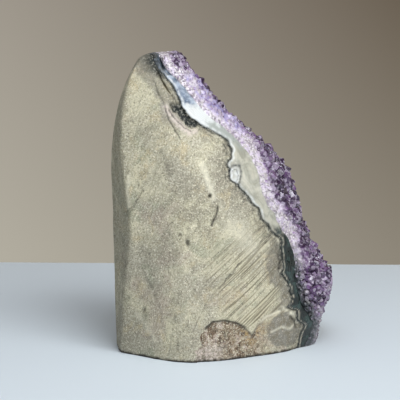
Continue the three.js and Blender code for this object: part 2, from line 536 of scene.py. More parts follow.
    def closed(self, grid: Array, every: int = 1) -> Solid:
        """Closes a grid of skin points with a rounded crown and a flat foot.

        Args:
            grid: Skin points, rows by columns by three.
            every: Which columns are kept: 2 keeps every second one.

        Returns:
            The solid.
        """
        rings = grid[:, ::every].copy()
        centre = self.axis_at(rings[:, 0, 2])
        from_top = self.height - self.levels
        for row in range(self.rows):
            t = np.clip(1 - from_top[row] / self.crown_radius, 0, self.crown_end)
            shrink = self.crown_flat + (1 - self.crown_flat) * math.sqrt(1 - t * t)
            rings[row, :, :2] = centre[row] + (rings[row, :, :2] - centre[row]) * shrink
        foot = rings[0].copy()
        outward = foot[:, :2] - centre[0]
        foot[:, :2] -= outward / np.linalg.norm(outward, axis=1, keepdims=True) * self.foot_bevel
        foot[:, 2] = 0
        rings[0, :, 2] = self.foot_bevel
        rings[-1, :, 2] = np.minimum(rings[-1, :, 2], self.height)
        layers = np.concatenate([foot[None], rings])
        points = layers.reshape(-1, 3)
        count, wide = len(layers), rings.shape[1]
        top = np.array([[*rings[-1, :, :2].mean(0), rings[-1, :, 2].mean()]])
        bottom = np.array([[*foot[:, :2].mean(0), 0.0]])
        points = np.concatenate([points, top, bottom])
        faces: list[tuple[int, ...]] = []
        for row in range(count - 1):
            for column in range(wide):
                right = (column + 1) % wide
                a, b = row * wide + column, row * wide + right
                faces.append((a, b, b + wide, a + wide))
        last, top_index, bottom_index = (count - 1) * wide, len(points) - 2, len(points) - 1
        for column in range(wide):
            right = (column + 1) % wide
            faces.append((last + column, last + right, top_index))
            faces.append((right, column, bottom_index))
        return Solid(points, faces)


@dataclass(frozen=True)
class Lobe:
    """A rounded nodule that pushes a contact ahead, or back, on the near side."""

    height: float
    shift: float
    half_height: float


@dataclass
class Contact:
    """A contact between two layers, as x over (y, z), read from the solids and roughened."""

    behind: tuple[Layer, ...]
    ahead: tuple[Layer, ...]
    seed: int
    lobes: tuple[Lobe, ...]
    step: float = 0.9
    half_depth: float = 47.0
    spare_height: float = 10.0
    wander: float = 1.3
    ripple: float = 0.9
    scallop: float = 1.0
    wander_size: float = 9
    ripple_size: float = 3
    scallop_size: float = 7
    scallop_floor: float = 0.3
    lobe_side: Span = (6, -6)
    slope_blur: float = 3
    read_blur: Span = (1.2, 1.5)
    touching: float = 1.2
    ray_start: float = -200
    block_end: float = 90.0

    def __post_init__(self) -> None:
        """Reads the contact between the two layers."""
        top = CAD_BOX[1][2] / MM + self.spare_height
        self.depths = np.arange(-self.half_depth, self.half_depth + self.step, self.step)
        self.heights = np.arange(-self.spare_height, top, self.step)
        self.x = self._read()
        noise = GrainNoise(self.seed)
        z, y = np.meshgrid(self.heights, self.depths, indexing="ij")
        near = eased(*self.lobe_side, y)
        for lobe in self.lobes:
            self.x += near * lobe.shift * bell(z - lobe.height, lobe.half_height)
        slope_z, slope_y = np.gradient(blurred(self.x, self.slope_blur, 0, False), self.step)
        self.square = 1 / np.sqrt(1 + slope_z ** 2 + slope_y ** 2)
        places = np.stack([np.zeros(z.size), y.ravel(), z.ravel()], 1)
        rough = (self.wander * noise.layered(places, self.wander_size, 2)
                 + self.ripple * noise.layered(places + 50, self.ripple_size, 3, 0.6))
        rough += self.scallop * (np.abs(noise.at(places + 90, self.scallop_size)) - self.scallop_floor)
        self.x += rough.reshape(z.shape)

    def _read(self) -> Array:
        """x of the contact over heights by depths, extended past the stone's outline.

        Returns:
            The x values, rows by columns.
        """
        ahead, behind = tree_of(self.ahead), tree_of(self.behind)
        right = Vector((1, 0, 0))
        found = np.full((len(self.heights), len(self.depths)), np.nan)
        for row, z in enumerate(self.heights):
            for column, y in enumerate(self.depths):
                hit = ahead.ray_cast(Vector((self.ray_start, y, z)), right)[0]
                if hit and behind.find_nearest(hit)[3] < self.touching:
                    found[row, column] = hit.x
        known = np.isfinite(found)
        rows_known = np.flatnonzero(known.sum(1) > 2)
        for row in rows_known:
            found[row] = np.interp(self.depths, self.depths[known[row]], found[row][known[row]])
        for column in range(len(self.depths)):
            found[:, column] = np.interp(self.heights, self.heights[rows_known], found[rows_known, column])
        return blurred(blurred(found, self.read_blur[0], 0, False), self.read_blur[1], 1, False)

    def _between(self, grid: Array, points: Array) -> Array:
        """Values of a grid at the height and depth of each point.

        Args:
            grid: Values over heights by depths.
            points: Places in millimetres.

        Returns:
            One value a point.
        """
        column = np.clip((points[:, 1] - self.depths[0]) / self.step, 0, len(self.depths) - 1.001)
        row = np.clip((points[:, 2] - self.heights[0]) / self.step, 0, len(self.heights) - 1.001)
        i, j = row.astype(int), column.astype(int)
        u, v = row - i, column - j
        low = grid[i, j] * (1 - v) + grid[i, j + 1] * v
        high = grid[i + 1, j] * (1 - v) + grid[i + 1, j + 1] * v
        return low * (1 - u) + high * u

    def ahead_of(self, points: Array) -> Array:
        """Distance of points ahead of the contact, square to it; behind it is negative."""
        return (points[:, 0] - self._between(self.x, points)) * self._between(self.square, points)

    def tool(self, name: str, clearance: float) -> Piece:
        """A block that holds everything ahead of the contact.

        Args:
            name: Name of the block.
            clearance: How far the block's face is moved forward.

        Returns:
            The block as an object.
        """
        z, y = np.meshgrid(self.heights, self.depths, indexing="ij")
        face = np.stack([self.x.ravel() + clearance, y.ravel(), z.ravel()], 1)
        back = np.stack([np.full(z.size, self.block_end), y.ravel(), z.ravel()], 1)
        rows, columns = z.shape
        faces: list[tuple[int, ...]] = []
        for row in range(rows - 1):
            for column in range(columns - 1):
                a = row * columns + column
                faces.append((a, a + columns, a + columns + 1, a + 1))
                faces.append(tuple(i + z.size for i in (a, a + 1, a + columns + 1, a + columns)))
        rim = [*range(columns), *(r * columns + columns - 1 for r in range(1, rows)),
               *(rows * columns - 2 - c for c in range(columns - 1)),
               *(r * columns for r in range(rows - 2, 0, -1))]
        for a, b in zip(rim, rim[1:] + rim[:1]):
            faces.append((a, b, b + z.size, a + z.size))
        return Solid(np.concatenate([face, back]), faces).to_object(name)


ROCK_LOBES = (
    Lobe(126.0, 3.0, 5.0), Lobe(119.0, 2.6, 4.5), Lobe(99.0, 1.4, 3.0), Lobe(88.0, -1.8, 3.0),
    Lobe(83.0, -2.6, 2.6), Lobe(53.0, 1.6, 2.4), Lobe(37.5, -1.6, 3.0), Lobe(21.0, -4.4, 1.5),
    Lobe(14.8, -1.8, 2.6),
)
QUARTZ_LOBES = (Lobe(125.0, 1.2, 7.0), Lobe(114.0, 1.3, 6.0), Lobe(75.0, -3.0, 8.0), Lobe(48.0, 2.2, 9.0),
                Lobe(8.0, 3.0, 14.0))


# ---- Marks on the ground side ----


@dataclass(frozen=True)
class WheelFlat:
    """A flat left by the grinding wheel."""

    point: Place
    facing: float
    up: float

    def ground(self, points: Array) -> Array:
        """Points with what stands proud of the flat taken off.

        Args:
            points: Skin points in millimetres.

        Returns:
            The points after grinding.
        """
        turn, lift = math.radians(self.facing), math.radians(self.up)
        flat = math.cos(lift)
        normal = np.array([math.cos(turn) * flat, math.sin(turn) * flat, math.sin(lift)])
        proud = np.maximum((points - np.array(self.point)) @ normal, 0)
        return points - proud[:, None] * normal


@dataclass(frozen=True)
class Crack:
    """A narrow crack or scratch along a broken line, given as (x, z) corners."""

    path: Line
    width: float
    deep: float
    dark: float

    def reach(self, flat: Array) -> Array:
        """How strongly the crack is felt at (x, z) places, 0 to 1."""
        return bell(path_distance(flat, self.path), self.width)


@dataclass(frozen=True)
class Pit:
    """A small hole, round or long."""

    x: float
    z: float
    wide: float
    tall: float
    deep: float
    dark: float = 1.0
    turn: float = 0.0

    def reach(self, flat: Array) -> Array:
        """A rounded dimple over (x, z) places, 1 in its middle."""
        return np.exp(-self.away(flat) ** 3)

    def away(self, flat: Array) -> Array:
        """Distance from the middle, over the pit's own size.

        Args:
            flat: Places as (x, z) rows.

        Returns:
            One value a place; 1 is the edge.
        """
        turn = math.radians(self.turn)
        x, z = flat[:, 0] - self.x, flat[:, 1] - self.z
        u = (x * math.cos(turn) + z * math.sin(turn)) / self.wide
        v = (-x * math.sin(turn) + z * math.cos(turn)) / self.tall
        return np.sqrt(u * u + v * v)


@dataclass(frozen=True)
class SawScratches:
    """Parallel scratches that the saw left low on the ground side."""

    left: float = -7.5
    right: float = 32.0
    low: float = 11.0
    high: float = 62.0
    angle: float = 41.0
    pitch: float = 1.5
    deep: float = 0.16
    left_fade: float = 9
    right_fade: float = 5
    low_fade: float = 7
    high_fade: float = 16
    lean: float = 0.25
    lean_height: float = 30
    wobble: float = 4
    wobble_size: float = 14
    stretch: float = 0.03

    def zone(self, points: Array, noise: GrainNoise) -> Array:
        """How much each point lies among the scratches, 0 to 1.

        Args:
            points: Places in millimetres.
            noise: Noise that makes the border uneven.

        Returns:
            One value a point.
        """
        x, z = points[:, 0], points[:, 2]
        wobble = self.wobble * noise.at(points, self.wobble_size)
        leaning = x + wobble + (z - self.lean_height) * self.lean
        zone = eased(self.left, self.left + self.left_fade, leaning)
        zone *= eased(self.right, self.right - self.right_fade, x + 0.5 * wobble)
        zone *= eased(self.low, self.low + self.low_fade, z + wobble * 0.5)
        return zone * eased(self.high, self.high - self.high_fade, z + wobble - x * self.lean)

    def grooves(self, points: Array, noise: GrainNoise) -> Array:
        """How deep each point lies in a scratch, 0 to 1, broken along its length.

        Args:
            points: Places in millimetres.
            noise: Noise that breaks the grooves.

        Returns:
            One value a point.
        """
        tilt = math.radians(self.angle)
        along = points[:, 0] * math.cos(tilt) + points[:, 2] * math.sin(tilt)
        across = -points[:, 0] * math.sin(tilt) + points[:, 2] * math.cos(tilt)
        across = across + 0.5 * noise.at(points, 16)
        streak = np.stack([along * self.stretch, across, across * 0], 1)
        lines = noise.at(streak, self.pitch * 0.6) + 0.6 * noise.at(streak + 31, self.pitch * 0.4)
        regular = np.sin(across * 2 * math.pi / self.pitch)
        patch = 0.5 * noise.at(points + 70, 9)
        return held(eased(0.0, 1.1, lines * 1.3 + 0.5 * regular + patch))


@dataclass(frozen=True)
class Recess:
    """The broken hollow at the foot, with a two-lobed arched rim that dips at one place."""

    crest: Line = (
        (-12.5, 3.0), (-10.5, 10.5), (-8.5, 15.5), (-5.0, 18.6), (0.5, 18.9), (5.5, 17.6), (9.5, 14.8),
        (13.1, 10.6), (15.5, 14.8), (19.9, 18.6), (26.1, 20.2))
    dip: float = 13.1
    fade: float = 11.0
    looseness: float = 2.4
    ragged_end: float = 3
    edge: Span = (-0.4, 0.5)
    outside: float = -9

    def brown(self, flat: Array, wobble: Array) -> Array:
        """How brown and broken each place is; past the dip the hollow fades out.

        Args:
            flat: Places as (x, z) rows.
            wobble: Roughness of the border at each place, about -1 to 1.

        Returns:
            One value a place, 0 to 1.
        """
        rim = np.array(self.crest)
        loose = eased(self.crest[3][0], self.crest[0][0], flat[:, 0])
        across = flat[:, 0] + self.looseness * wobble * loose
        height = np.interp(across, rim[:, 0], rim[:, 1], left=self.outside, right=self.outside)
        inside = eased(*self.edge, height - flat[:, 1])
        end = flat[:, 0] + self.ragged_end * wobble
        return inside * eased(self.dip + self.fade, self.dip + 1, end)

    def rim(self, flat: Array) -> Array:
        """Distance from the rim."""
        return path_distance(flat, self.crest)


@dataclass(frozen=True)
class Vug:
    """The dark pocket that opens under the upper contact, with a pale lip below it."""

    rim: Line = (
        (-25.2, 116.4), (-23.6, 113.8), (-20.6, 110.4), (-17.6, 107.3), (-14.6, 104.9), (-12.2, 105.6),
        (-10.6, 107.4), (-7.0, 106.7))
    top: float = 117.5
    top_fade: float = 3
    deep: float = 1.9
    rim_edge: Span = (-0.2, 0.8)
    back_edge: Span = (-5.6, -4.4)
    outside: float = 999
    lip_shift: Span = (1.0, 1.4)
    lip_width: float = 1.4

    def inside(self, flat: Array, ahead: Array) -> Array:
        """How much each place lies in the pocket, from its place and its distance to the contact.

        Args:
            flat: Places as (x, z) rows.
            ahead: Distance of each place ahead of the contact.

        Returns:
            One value a place, 0 to 1.
        """
        rim = np.array(self.rim)
        floor = np.interp(flat[:, 0], rim[:, 0], rim[:, 1], left=self.outside, right=self.outside)
        pocket = eased(*self.rim_edge, flat[:, 1] - floor) * eased(*self.back_edge, ahead)
        return pocket * eased(self.top, self.top - self.top_fade, flat[:, 1])

    def lip(self, flat: Array) -> Array:
        """The pale band below the rim."""
        lowered = tuple((x - self.lip_shift[0], z - self.lip_shift[1]) for x, z in self.rim[:-2])
        return bell(path_distance(flat, lowered), self.lip_width)


@dataclass(frozen=True)
class GroundSideMarks:
    """Everything that wear, sawing and nature left on the ground side, in (x, z)."""

    flats: tuple[WheelFlat, ...] = (
        WheelFlat((-33.7, -33.7, 84.0), 256, 7),
        WheelFlat((-8.7, -36.1, 44.0), 283, 2),
        WheelFlat((15.3, -27.9, 40.0), 305, 3),
        WheelFlat((-24.7, -27.5, 112.0), 280, 20),
        WheelFlat((-20.7, 34.1, 46.0), 104, 3),
        WheelFlat((11.3, 35.3, 40.0), 72, 4),
        WheelFlat((-24.7, 25.0, 108.0), 88, 22),
        WheelFlat((-48.9, 14.5, 60.0), 168, 2),
    )
    cracks: tuple[Crack, ...] = (
        Crack(((-2.7, 71.0), (-3.1, 68.0), (-4.7, 64.6), (-5.5, 62.6)), 0.5, 0.5, 1.0),
        Crack(((-5.5, 62.6), (-7.6, 57.0), (-8.4, 52.0)), 0.35, 0.1, 0.25),
        Crack(((8.0, 45.5), (5.7, 43.4), (3.9, 40.4), (1.1, 38.2), (0.1, 35.8), (-2.4, 33.4)),
              0.34, 0.4, 0.85),
        Crack(((-26.6, 115.0), (-24.6, 109.2), (-22.2, 105.4), (-19.5, 100.9)), 0.35, 0.3, 0.8),
        Crack(((-24.6, 113.4), (-21.6, 109.4), (-18.2, 106.2), (-14.8, 104.2)), 0.35, 0.3, 0.85),
        Crack(((-2.4, 33.4), (-8.0, 27.0), (-11.5, 20.0), (-14.0, 14.0)), 0.35, 0.15, 0.35),
        Crack(((-43.8, 67.2), (-40.0, 72.0), (-36.3, 78.1)), 0.35, 0.22, 0.6),
        Crack(((-44.4, 65.2), (-41.0, 69.0), (-38.1, 75.0)), 0.3, 0.18, 0.45),
        Crack(((-28.1, 95.2), (-25.7, 90.4), (-24.3, 85.6)), 1.5, 0.12, 0.3),
        Crack(((31.2, 16.6), (33.0, 14.0), (33.6, 11.4)), 0.6, 0.5, 1.0),
        Crack(((-22.1, 22.4), (-23.5, 12.0), (-25.1, 3.0)), 0.3, 0.12, 0.35),
        Crack(((-21.8, 22.4), (-21.1, 12.0), (-20.5, 3.0)), 0.3, 0.12, 0.3),
        Crack(((-31.6, 126.0), (-29.5, 121.0), (-26.6, 115.5)), 0.45, 0.3, 0.6),
        Crack(((13.5, 57.5), (17.0, 60.0), (21.5, 61.5)), 0.35, 0.2, 0.5),
        Crack(((16.5, 53.0), (18.5, 55.5), (20.5, 55.0), (22.0, 56.5)), 0.4, 0.25, 0.7),
        Crack(((22.5, 49.0), (19.5, 45.0), (20.5, 40.0)), 0.35, 0.15, 0.35),
        Crack(((25.0, 46.4), (26.2, 43.2), (25.5, 39.8)), 0.7, 0.5, 1.0),
        Crack(((-36.0, 40.0), (-32.0, 33.0), (-29.0, 25.0), (-28.0, 18.0)), 0.8, 0.1, 0.3),
    )
    chalks: tuple[Crack, ...] = (
        Crack(((-9.8, 89.7), (-7.0, 82.0), (-4.6, 75.0)), 1.3, 0.0, 0.75),
        Crack(((-42.6, 84.0), (-43.4, 76.0), (-42.8, 70.0)), 0.8, 0.0, 0.5),
        Crack(((-39.0, 20.0), (-34.5, 14.0), (-31.0, 9.0)), 1.4, 0.0, 0.35),
        Crack(((22.0, 11.0), (27.0, 12.6), (31.0, 11.0), (33.5, 13.5)), 0.5, 0.0, 0.6),
        Crack(((31.5, 18.4), (34.0, 16.0), (35.6, 13.8)), 1.0, 0.0, 0.9),
        Crack(((36.6, 9.6), (38.0, 6.0), (37.0, 2.5)), 0.5, 0.0, 0.8),
        Crack(((27.8, 21.4), (29.6, 20.6)), 0.9, 0.0, 1.0),
        Crack(((3.0, 62.5), (8.0, 57.0), (12.5, 52.0)), 4.5, 0.0, 0.35),
    )
    # Broad grey patches of the stone; the rock's tone adds the painted shade of the left strip to them.
    grime: tuple[Pit, ...] = (
        Pit(-10, 71, 17, 17, 0, 1.0), Pit(8, 46, 10, 6, 0, 0.4, 20), Pit(-32, 102, 9, 8, 0, 0.6),
        Pit(-27, 52, 10, 9, 0, 0.6), Pit(-22, 88, 5, 8, 0, 0.7, -30), Pit(-36, 25, 6, 12, 0, 0.4),
        Pit(2, 92, 9, 7, 0, 0.6, -40), Pit(-8, 30, 9, 7, 0, 0.5, 30), Pit(18, 63, 4, 7, 0, 0.6, -35),
    )
    pits: tuple[Pit, ...] = (
        Pit(-6.3, 75.8, 1.0, 0.9, 1.1),
        Pit(-19.7, 58.8, 0.9, 0.7, 0.6, 0.7),
        Pit(-16.3, 55.0, 1.0, 1.9, 0.7, 0.85, 20),
        Pit(-33.7, 49.2, 0.6, 0.6, 0.4, 0.5),
        Pit(-36.2, 22.7, 0.8, 1.2, 0.6, 0.9, -20),
        Pit(-38.6, 80.2, 0.7, 0.8, 0.4, 0.6),
        Pit(-35.5, 20.0, 0.5, 0.5, 0.3, 0.6),
        Pit(19.1, 52.6, 1.2, 0.5, 0.4, 0.6, 30),
        Pit(-41.1, 108.0, 0.7, 0.7, 0.5, 0.6),
        Pit(-33.8, 10.0, 1.2, 1.0, 0.3, 0.35),
    )
    saw: SawScratches = SawScratches()
    recess: Recess = Recess()
    ash: Pit = Pit(29.3, 11.0, 9.5, 8.6, 0.0)
    vug: Vug = Vug()
    nodule: Pit = Pit(4.6, 83.4, 3.0, 5.0, 0.0, turn=-12)


@dataclass
class GroundSide:
    """Grinds and marks the stone's skin, and tells where its marks lie."""

    rock_contact: Contact
    quartz_contact: Contact
    marks: GroundSideMarks = GroundSideMarks()
    fine: GrainNoise = field(default_factory=lambda: GrainNoise(11))
    coarse: GrainNoise = field(default_factory=lambda: GrainNoise(12))
    proud: float = 0.1
    box_margin: float = 0.03
    near_edge: Span = (4.0, -6.0)
    ragged: float = 0.6
    swell: float = 0.22
    grain: float = 0.1
    far_swell: float = 0.5
    far_sunk: float = 0.12
    foot_chip: float = 1.3
    rubble: Span = (0.7, 0.25)
    recess_deep: float = 0.7
    recess_run: float = 1.4
    rim_groove: float = 0.2
    lip_proud: float = 0.35
    sugar: float = 0.9
    sugar_proud: float = 0.25
    seam: float = 0.75
    seam_swell: float = 1.3
    seam_top: float = 3.8
    seam_top_range: Span = (125, 131)
    upright_share: float = 0.3

    def near(self, points: Array) -> Array:
        """How much a point belongs to the broad ground side, 0 to 1."""
        return eased(*self.near_edge, points[:, 1])

    def worn(self, points: Array) -> Array:
        """Places as (x, z), shifted a little so that marks get ragged borders."""
        shift = [self.fine.layered(points + start, 2.0, 3, 0.7) for start in (0, 33)]
        return points[:, [0, 2]] + self.ragged * np.stack(shift, 1)

    def depth(self, points: Array) -> Array:
        """How far the skin is sunk at each point.

        Args:
            points: Skin points in millimetres.

        Returns:
            Depth in millimetres; a negative value stands proud.
        """
        near = self.near(points)
        sunk = (self.swell * self.coarse.layered(points, 17, 2)
                + self.grain * self.fine.layered(points, 3.4, 3, 0.6))
        sunk += (1 - near) * (self.far_swell * self.coarse.layered(points + 9, 11, 3) + self.far_sunk)
        sunk += near * self._marks_depth(points) + self._contact_depth(points)
        edge = bell(points[:, 2], self.foot_chip) * (0.35 + 0.6 * np.abs(self.fine.at(points, 2.4)))
        return sunk + edge * held(self.coarse.at(points, 7) + 0.35)

    def _marks_depth(self, points: Array) -> Array:
        """Depth of the marks on the near side.

        Args:
            points: Skin points in millimetres.

        Returns:
            Depth in millimetres.
        """
        marks, flat = self.marks, points[:, [0, 2]]
        rock = eased(0.4, -0.4, self.rock_contact.ahead_of(points))
        rough = 1 + 0.5 * self.fine.at(points, 2)
        sunk = marks.saw.deep * marks.saw.zone(points, self.coarse) * marks.saw.grooves(points, self.fine)
        worn = self.worn(points)
        for mark in (*marks.cracks, *marks.pits):
            sunk = sunk + mark.deep * mark.reach(worn) * rough
        brown, rim = marks.recess.brown(flat, self.fine.at(points, 2)), marks.recess.rim(flat)
        rubble = (self.rubble[0] * np.abs(self.fine.layered(points, 2.6, 3, 0.6))
                  + self.rubble[1] * self.coarse.at(points, 5))
        hollow = brown * rock * (self.recess_deep * eased(0, self.recess_run, rim) + rubble)
        sunk += hollow + self.rim_groove * rock * bell(rim, 0.5)
        ragged = flat + 0.9 * self.fine.layered(points, 2.2, 2)[:, None]
        pocket = marks.vug.inside(ragged, self.rock_contact.ahead_of(points))
        sunk += rock * pocket * marks.vug.deep * (0.8 + 0.6 * self.fine.layered(points, 2.4, 3))
        return sunk - self.lip_proud * rock * marks.vug.lip(flat)

    def _contact_depth(self, points: Array) -> Array:
        """Depth of the grooves along the contacts and of the sugary quartz past them.

        Args:
            points: Skin points in millimetres.

        Returns:
            Depth in millimetres.
        """
        ahead = self.rock_contact.ahead_of(points)
        crust = eased(-0.4, 0.4, self.quartz_contact.ahead_of(points))
        groove = 0.6 + 0.8 * self.fine.layered(points, 4, 2)
        sunk = groove * (0.6 * bell(ahead + 0.2, self.seam_width(points)) + 0.3 * bell(ahead + 2.0, 0.4))
        sugar = self.sugar * np.abs(self.fine.layered(points, 2.2, 3, 0.6)) - self.sugar_proud
        return sunk + crust * sugar

    def seam_width(self, points: Array) -> Array:
        """Width of the dark line along the rock's contact, which swells here and there.

        Args:
            points: Skin points in millimetres.

        Returns:
            One width a point, in millimetres.
        """
        swell = held(self.coarse.layered(points, 7, 3, 0.6) + 0.1)
        top = eased(*self.seam_top_range, points[:, 2])
        return self.seam + self.seam_swell * swell + self.seam_top * top

    def shaped(self, grid: Array) -> Array:
        """Grinds and marks the skin.

        Args:
            grid: Smooth skin points, rows by columns by three.

        Returns:
            The marked skin, of the same shape.
        """
        points = grid.reshape(-1, 3)
        for flat in self.marks.flats:
            points = flat.ground(points)
        normals = StoneSkin.normals(points.reshape(grid.shape)).reshape(-1, 3)
        sunk = self.depth(points)
        moved = points - normals * (sunk - self.proud)[:, None]
        moved[:, 2] = points[:, 2] + (moved[:, 2] - points[:, 2]) * self.upright_share
        margin = self.box_margin
        return np.clip(moved, BOX_LOW + margin, BOX_HIGH - margin).reshape(grid.shape)


# ---- Finishes ----


class Nodes:
    """Short calls that add and join the shader nodes of a material or a world."""

    def __init__(self, owner: Material | bpy.types.World) -> None:
        """Starts with no nodes.

        Args:
            owner: The material or world.
        """
        owner.use_nodes = True
        self.nodes, self.links = owner.node_tree.nodes, owner.node_tree.links
        self.nodes.clear()

    def _feed(self, socket: Socket, value: object) -> None:
        """Joins a socket to another, or sets it to a number or colour.

        Args:
            socket: The input.
            value: A socket, a number or a colour.
        """
        if isinstance(value, Socket):
            self.links.new(value, socket)
        elif isinstance(value, (tuple, list)) and len(value) == 3 and socket.type == "RGBA":
            socket.default_value = (*value, 1)
        else:
            socket.default_value = value

    def make(self, kind: str, **inputs: object) -> bpy.types.ShaderNode:
        """Adds a node and feeds its inputs by name; a name's underscores stand for spaces.

        Args:
            kind: Type of the node, without its leading ShaderNode.
            inputs: What each input is fed.

        Returns:
            The node.
        """
        node = self.nodes.new("ShaderNode" + kind)
        for name, value in inputs.items():
            self._feed(node.inputs[name.replace("_", " ")], value)
        return node

    def band(self, value: Socket, low: float, high: float, kind: str = "SMOOTHSTEP") -> Socket:
        """Carries a value over to 0 at low and 1 at high.

        Args:
            value: The value.
            low: Where the result is 0.
            high: Where the result is 1.
            kind: SMOOTHSTEP eases in between, LINEAR doesn't.

        Returns:
            The result.
        """
        node = self.make("MapRange", Value=value, From_Min=low, From_Max=high)
        node.interpolation_type = kind
        return node.outputs["Result"]

    def sum(self, kind: str, a: object, b: object = 0.0, clamp: bool = False) -> Socket:
        """A sum of two values.

        Args:
            kind: The node's operation, such as ADD or SINE.
            a: First value.
            b: Second value, where the operation takes one.
            clamp: Whether the result is held between 0 and 1.

        Returns:
            The result.
        """
        node = self.make("Math")
        node.operation = kind
        node.use_clamp = clamp
        self._feed(node.inputs[0], a)
        self._feed(node.inputs[1], b)
        return node.outputs["Value"]

    def plus(self, a: object, b: object, clamp: bool = True) -> Socket:
        """Two values added, held between 0 and 1 unless told not to."""
        return self.sum("ADD", a, b, clamp)

    def minus(self, a: object, b: object) -> Socket:
        """The first value less the second."""
        return self.sum("SUBTRACT", a, b)

    def times(self, a: object, b: object, clamp: bool = True) -> Socket:
        """Two values multiplied, held between 0 and 1 unless told not to."""
        return self.sum("MULTIPLY", a, b, clamp)

    def mix(self, share: object, a: object, b: object) -> Socket:
        """A mix of two colours.

        Args:
            share: How much of the second colour is laid on.
            a: First colour.
            b: Second colour.

        Returns:
            The mixed colour.
        """
        node = self.make("Mix")
        node.data_type = "RGBA"
        node.clamp_factor = True
        self._feed(node.inputs[0], share)
        self._feed(node.inputs[6], a)
        self._feed(node.inputs[7], b)
        return node.outputs[2]


class Bench(Nodes):
    """A material under construction."""

    def __init__(self, name: str) -> None:
        """Starts a material with one main shader.

        Args:
            name: Name of the material.
        """
        self.material = bpy.data.materials.new(name)
        super().__init__(self.material)
        self.shader = self.make("BsdfPrincipled")
        self.output = self.make("OutputMaterial", Surface=self.shader.outputs["BSDF"])
        self.places = self.make("TexCoord").outputs["Object"]

    def read(self, name: str) -> Socket:
        """The number that the mesh stores under a name.

        Args:
            name: Name of the stored number.

        Returns:
            The number.
        """
        node = self.make("Attribute")
        node.attribute_name = name
        return node.outputs["Fac"]

    def grain(self, size: float, detail: float = 3, rough: float = 0.5, warp: float = 0,
              stretch: Place = (1, 1, 1), turn: float = 0) -> Socket:
        """Noise with cells of a size.

        Args:
            size: Cell size in millimetres.
            detail: Finer layers that are added.
            rough: Strength of the finer layers.
            warp: How much the noise is warped.
            stretch: How long the cells are along the three axes.
            turn: Angle in degrees that the long axes are turned by in the upright plane.

        Returns:
            A value about 0 to 1.
        """
        mapping = self.make("Mapping")
        mapping.vector_type = "TEXTURE"
        mapping.inputs["Scale"].default_value = stretch
        mapping.inputs["Rotation"].default_value = (0, math.radians(turn), 0)
        self.links.new(self.places, mapping.inputs["Vector"])
        noise = self.make("TexNoise", Vector=mapping.outputs["Vector"], Scale=1 / (size * MM),
                          Detail=detail, Roughness=rough, Distortion=warp)
        return noise.outputs["Fac"]

    def cells(self, size: float, output: str) -> Socket:
        """A pattern of cells of a size.

        Args:
            size: Cell size in millimetres.
            output: Distance, from 0 in the middle of a cell, or Color, one random value a cell.

        Returns:
            The value.
        """
        node = self.make("TexVoronoi", Vector=self.places, Scale=1 / (size * MM))
        return node.outputs[output]

    def patches(self, edge: Span, **noise: object) -> Socket:
        """Patches of noise with a soft edge; the noise is named as grain() names it."""
        return self.band(self.grain(**noise), *edge)

    def lay(self, under: object, over: object, cover: object, share: object) -> Socket:
        """Lays one colour over another where a pattern covers it, as strongly as the share says."""
        return self.mix(self.times(cover, share), under, over)

    def ramp(self, value: Socket, stops: Sequence[tuple[float, Colour]]) -> Socket:
        """A colour that changes along a value, through (place, colour) stops.

        Args:
            value: The value that is followed.
            stops: Places along the value and their colours.

        Returns:
            The colour.
        """
        node = self.make("ValToRGB", Fac=value)
        line = node.color_ramp
        while len(line.elements) < len(stops):
            line.elements.new(0.5)
        for element, (place, colour) in zip(line.elements, stops):
            element.position = place
            element.color = (*colour, 1)
        return node.outputs["Color"]

    def relief(self, height: Socket, deep: float, strength: float = 1.0,
               under: Socket | None = None) -> Socket:
        """Fine relief on the surface.

        Args:
            height: Height pattern.
            deep: Depth of the pattern in millimetres.
            strength: How strongly it shows.
            under: Relief that it is laid on.

        Returns:
            The changed surface direction.
        """
        node = self.make("Bump", Strength=strength, Distance=deep * MM, Height=height)
        if under is not None:
            self.links.new(under, node.inputs["Normal"])
        return node.outputs["Normal"]

    def set(self, **values: object) -> None:
        """Feeds the main shader's inputs; a name's underscores stand for spaces."""
        for name, value in values.items():
            self._feed(self.shader.inputs[name.replace("_", " ")], value)


def tone(red: int, green: int, blue: int) -> Colour:
    """A screen colour of 0 to 255 as the shader's linear colour."""
    return tuple(((value / 255 + 0.055) / 1.055) ** 2.4 if value > 10 else value / 255 / 12.92
                 for value in (red, green, blue))


